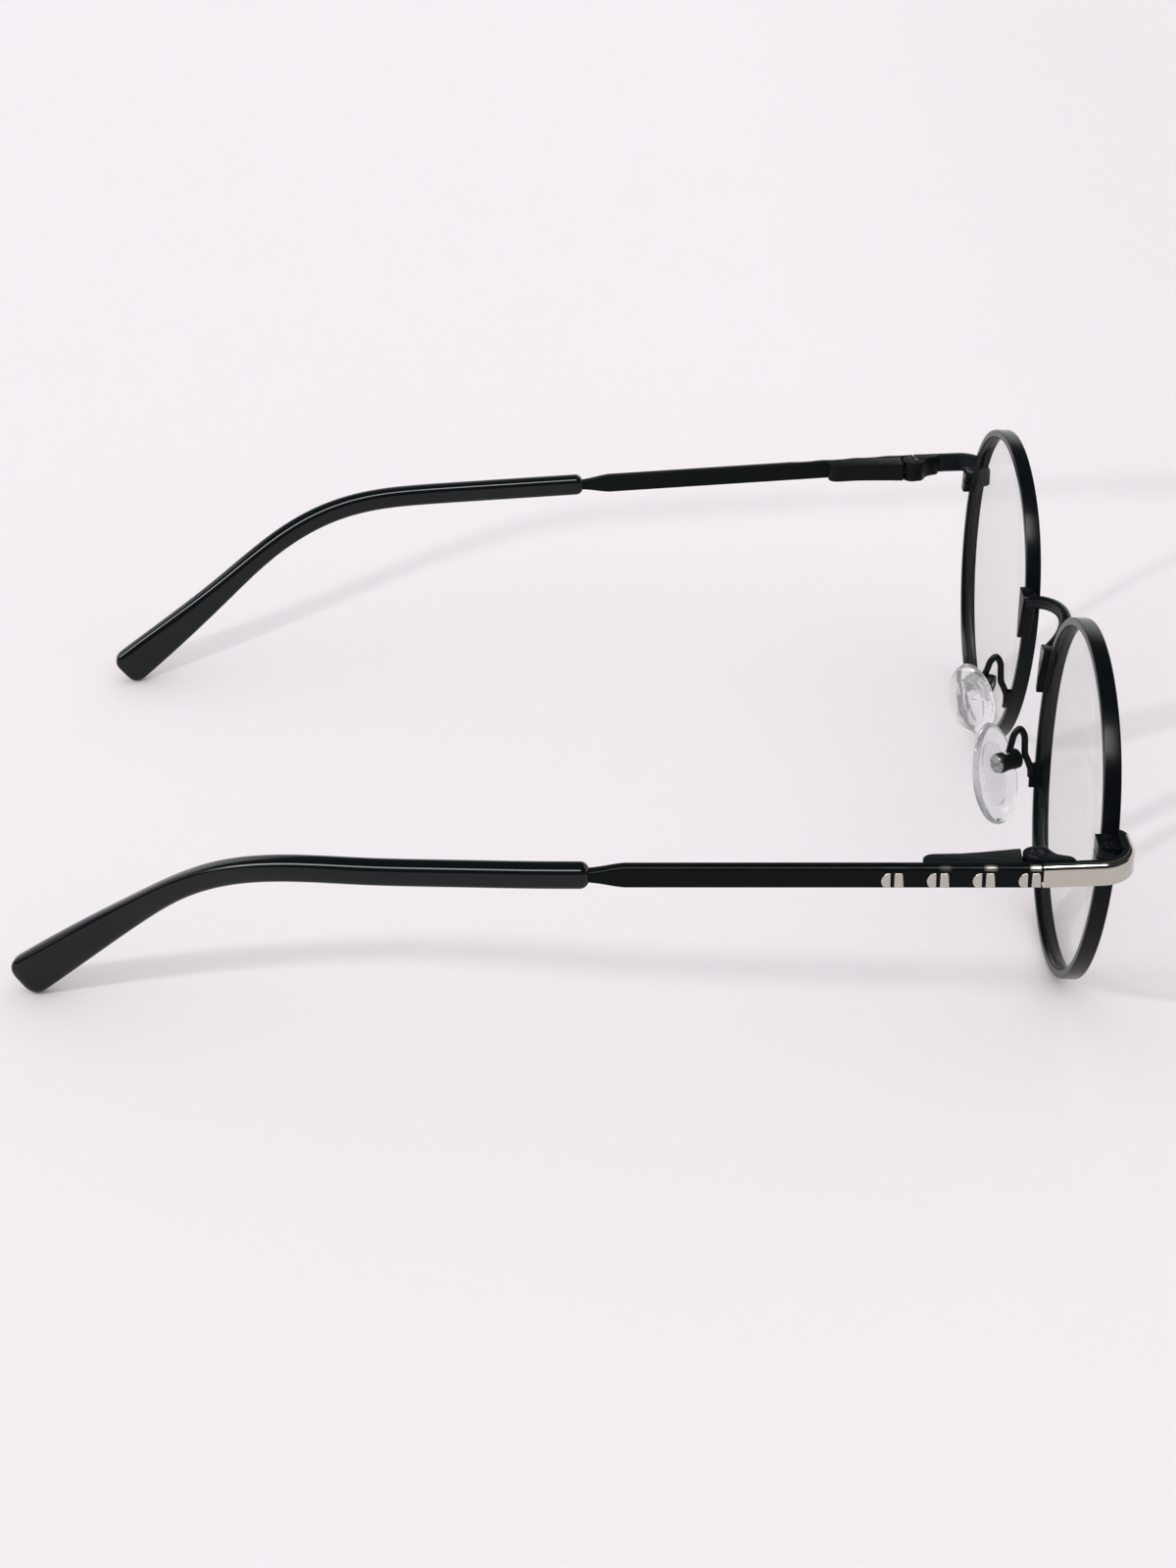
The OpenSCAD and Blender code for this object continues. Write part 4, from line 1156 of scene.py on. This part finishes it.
def tableTop():
    # A flat sheet under the part. The lamp's share of its light is cos * cos, measured from the
    # middle, and the paint is divided by the light that falls on it
    half = lightShape["tableHalf"]
    grid = stack(np.linspace(-half, half, 3)[:, None], np.linspace(-half, half, 3)[None, :], 0)
    mesh = bpy.data.meshes.new("tableTop")
    mesh.from_pydata(grid.reshape(-1, 3).tolist(), [], gridFaces(3, 3, False).tolist())
    mesh.update()
    top = bpy.data.objects.new("tableTop", mesh)
    scene.collection.objects.link(top)
    finish = Finish("paleTable", Roughness=lightShape["tableRough"])
    finish.set("Specular IOR Level", lightShape["tableSpecular"])
    lx, ly, lz = lightShape["lampAt"]
    far = math.sqrt(lx * lx + ly * ly + lz * lz)
    x, y, _ = finish.axes(finish.place())
    facing = (lz * lz + lx * lx + ly * ly - lx * x - ly * y) / far
    share = lightShape["lampShare"] * far * facing / ((x - lx) ** 2.0 + (y - ly) ** 2.0 + lz * lz)
    # Painted shade: the table's paint gets darker in front of the part
    paintedShadeInFront = ((lightShape["shadeFrom"] - y) * (1 / lightShape["shadeOver"])).clip()
    scale, strength = lightShape["tableCloud"]
    paint = (1.0 - lightShape["paintedTableShade"] * paintedShadeInFront) / (1.0 - lightShape["lampShare"] + share)
    paint = paint + strength * finish.noise(scale, 2)
    tint = finish.node("ShaderNodeCombineXYZ")
    for socket, level in zip(tint.inputs, lightShape["table"]):
        finish.feed(socket, paint * level)
    finish.set("Base Color", tint.outputs[0])
    mesh.materials.append(finish.material)


def softRoom():
    # Soft light from above, which the camera sees down to the table. In gloss and metal it is a
    # dark room with a skylight and a pale far wall
    world = bpy.data.worlds.new("softRoom")
    world.use_nodes = True
    scene.world = world
    shader = Shader(world.node_tree)
    direction = shader.node("ShaderNodeTexCoord").outputs["Generated"]
    across, along, height = shader.axes(direction)
    light = lightShape
    lean = light["skylightLean"]
    aside = across * math.sqrt(1 - lean * lean) + height * lean
    skylight = 1.0 - (aside * aside).step(*light["skylightHalf"])
    skylight *= height.step(*light["skylightLow"])
    skylight *= along.step(*light["skylightFrom"])
    skylight *= 1.0 - along.step(*light["skylightTo"])
    farWall = across.step(*light["farWallFrom"]) * (1.0 - height.step(*light["farWallTop"]))
    room = light["wall"] + light["farWall"] * farWall + light["skylight"] * skylight
    ray = shader.node("ShaderNodeLightPath").outputs
    glossy, seen = [Value(shader.tree, ray[kind]) for kind in ("Is Glossy Ray", "Is Camera Ray")]
    sky = light["sky"] * light["level"] * (height.step(*light["horizon"]) + seen).clip()
    strength = sky * (1.0 - glossy) + room * glossy
    backdrop = shader.node("ShaderNodeBackground", Color=light["skyTint"], Strength=strength)
    shader.node("ShaderNodeOutputWorld", Surface=backdrop.outputs[0])


deskLamp()
tableTop()
softRoom()
print("light set")

# Camera at the photograph's angle, in degrees, millimetres and pixels of a 1200 x 1600 image
cameraFit = {
    "azimuth": -90.935,
    "elevation": 29.634,
    "roll": 0.903,
    "distance": 372.38,
    "target": (0, -4.1934, 6.649),
    "focal": 2572.86,  # pixels
    "imageHeight": 1600,
    "sensor": 24,
    "clip": (0.01, 20),  # metres
}


def photoCamera():
    az, el, roll = [math.radians(cameraFit[k]) for k in ("azimuth", "elevation", "roll")]
    back = np.array([math.sin(az) * math.cos(el), -math.cos(az) * math.cos(el), math.sin(el)])
    level = np.cross(-back, [0, 0, 1])
    level /= np.linalg.norm(level)
    upright = np.cross(level, -back)
    right = level * math.cos(roll) + upright * math.sin(roll)
    up = upright * math.cos(roll) - level * math.sin(roll)
    place = (np.array(cameraFit["target"]) + back * cameraFit["distance"]) * 0.001
    data = bpy.data.cameras.new("photoCamera")
    data.sensor_fit, data.sensor_height = "VERTICAL", cameraFit["sensor"]
    data.lens = cameraFit["focal"] / cameraFit["imageHeight"] * data.sensor_height
    data.clip_start, data.clip_end = cameraFit["clip"]
    camera = bpy.data.objects.new("photoCamera", data)
    camera.matrix_world = standing(right, up, back, place)
    scene.collection.objects.link(camera)
    scene.camera = camera


photoCamera()
scene.view_settings.view_transform = "Standard"
print("camera set")
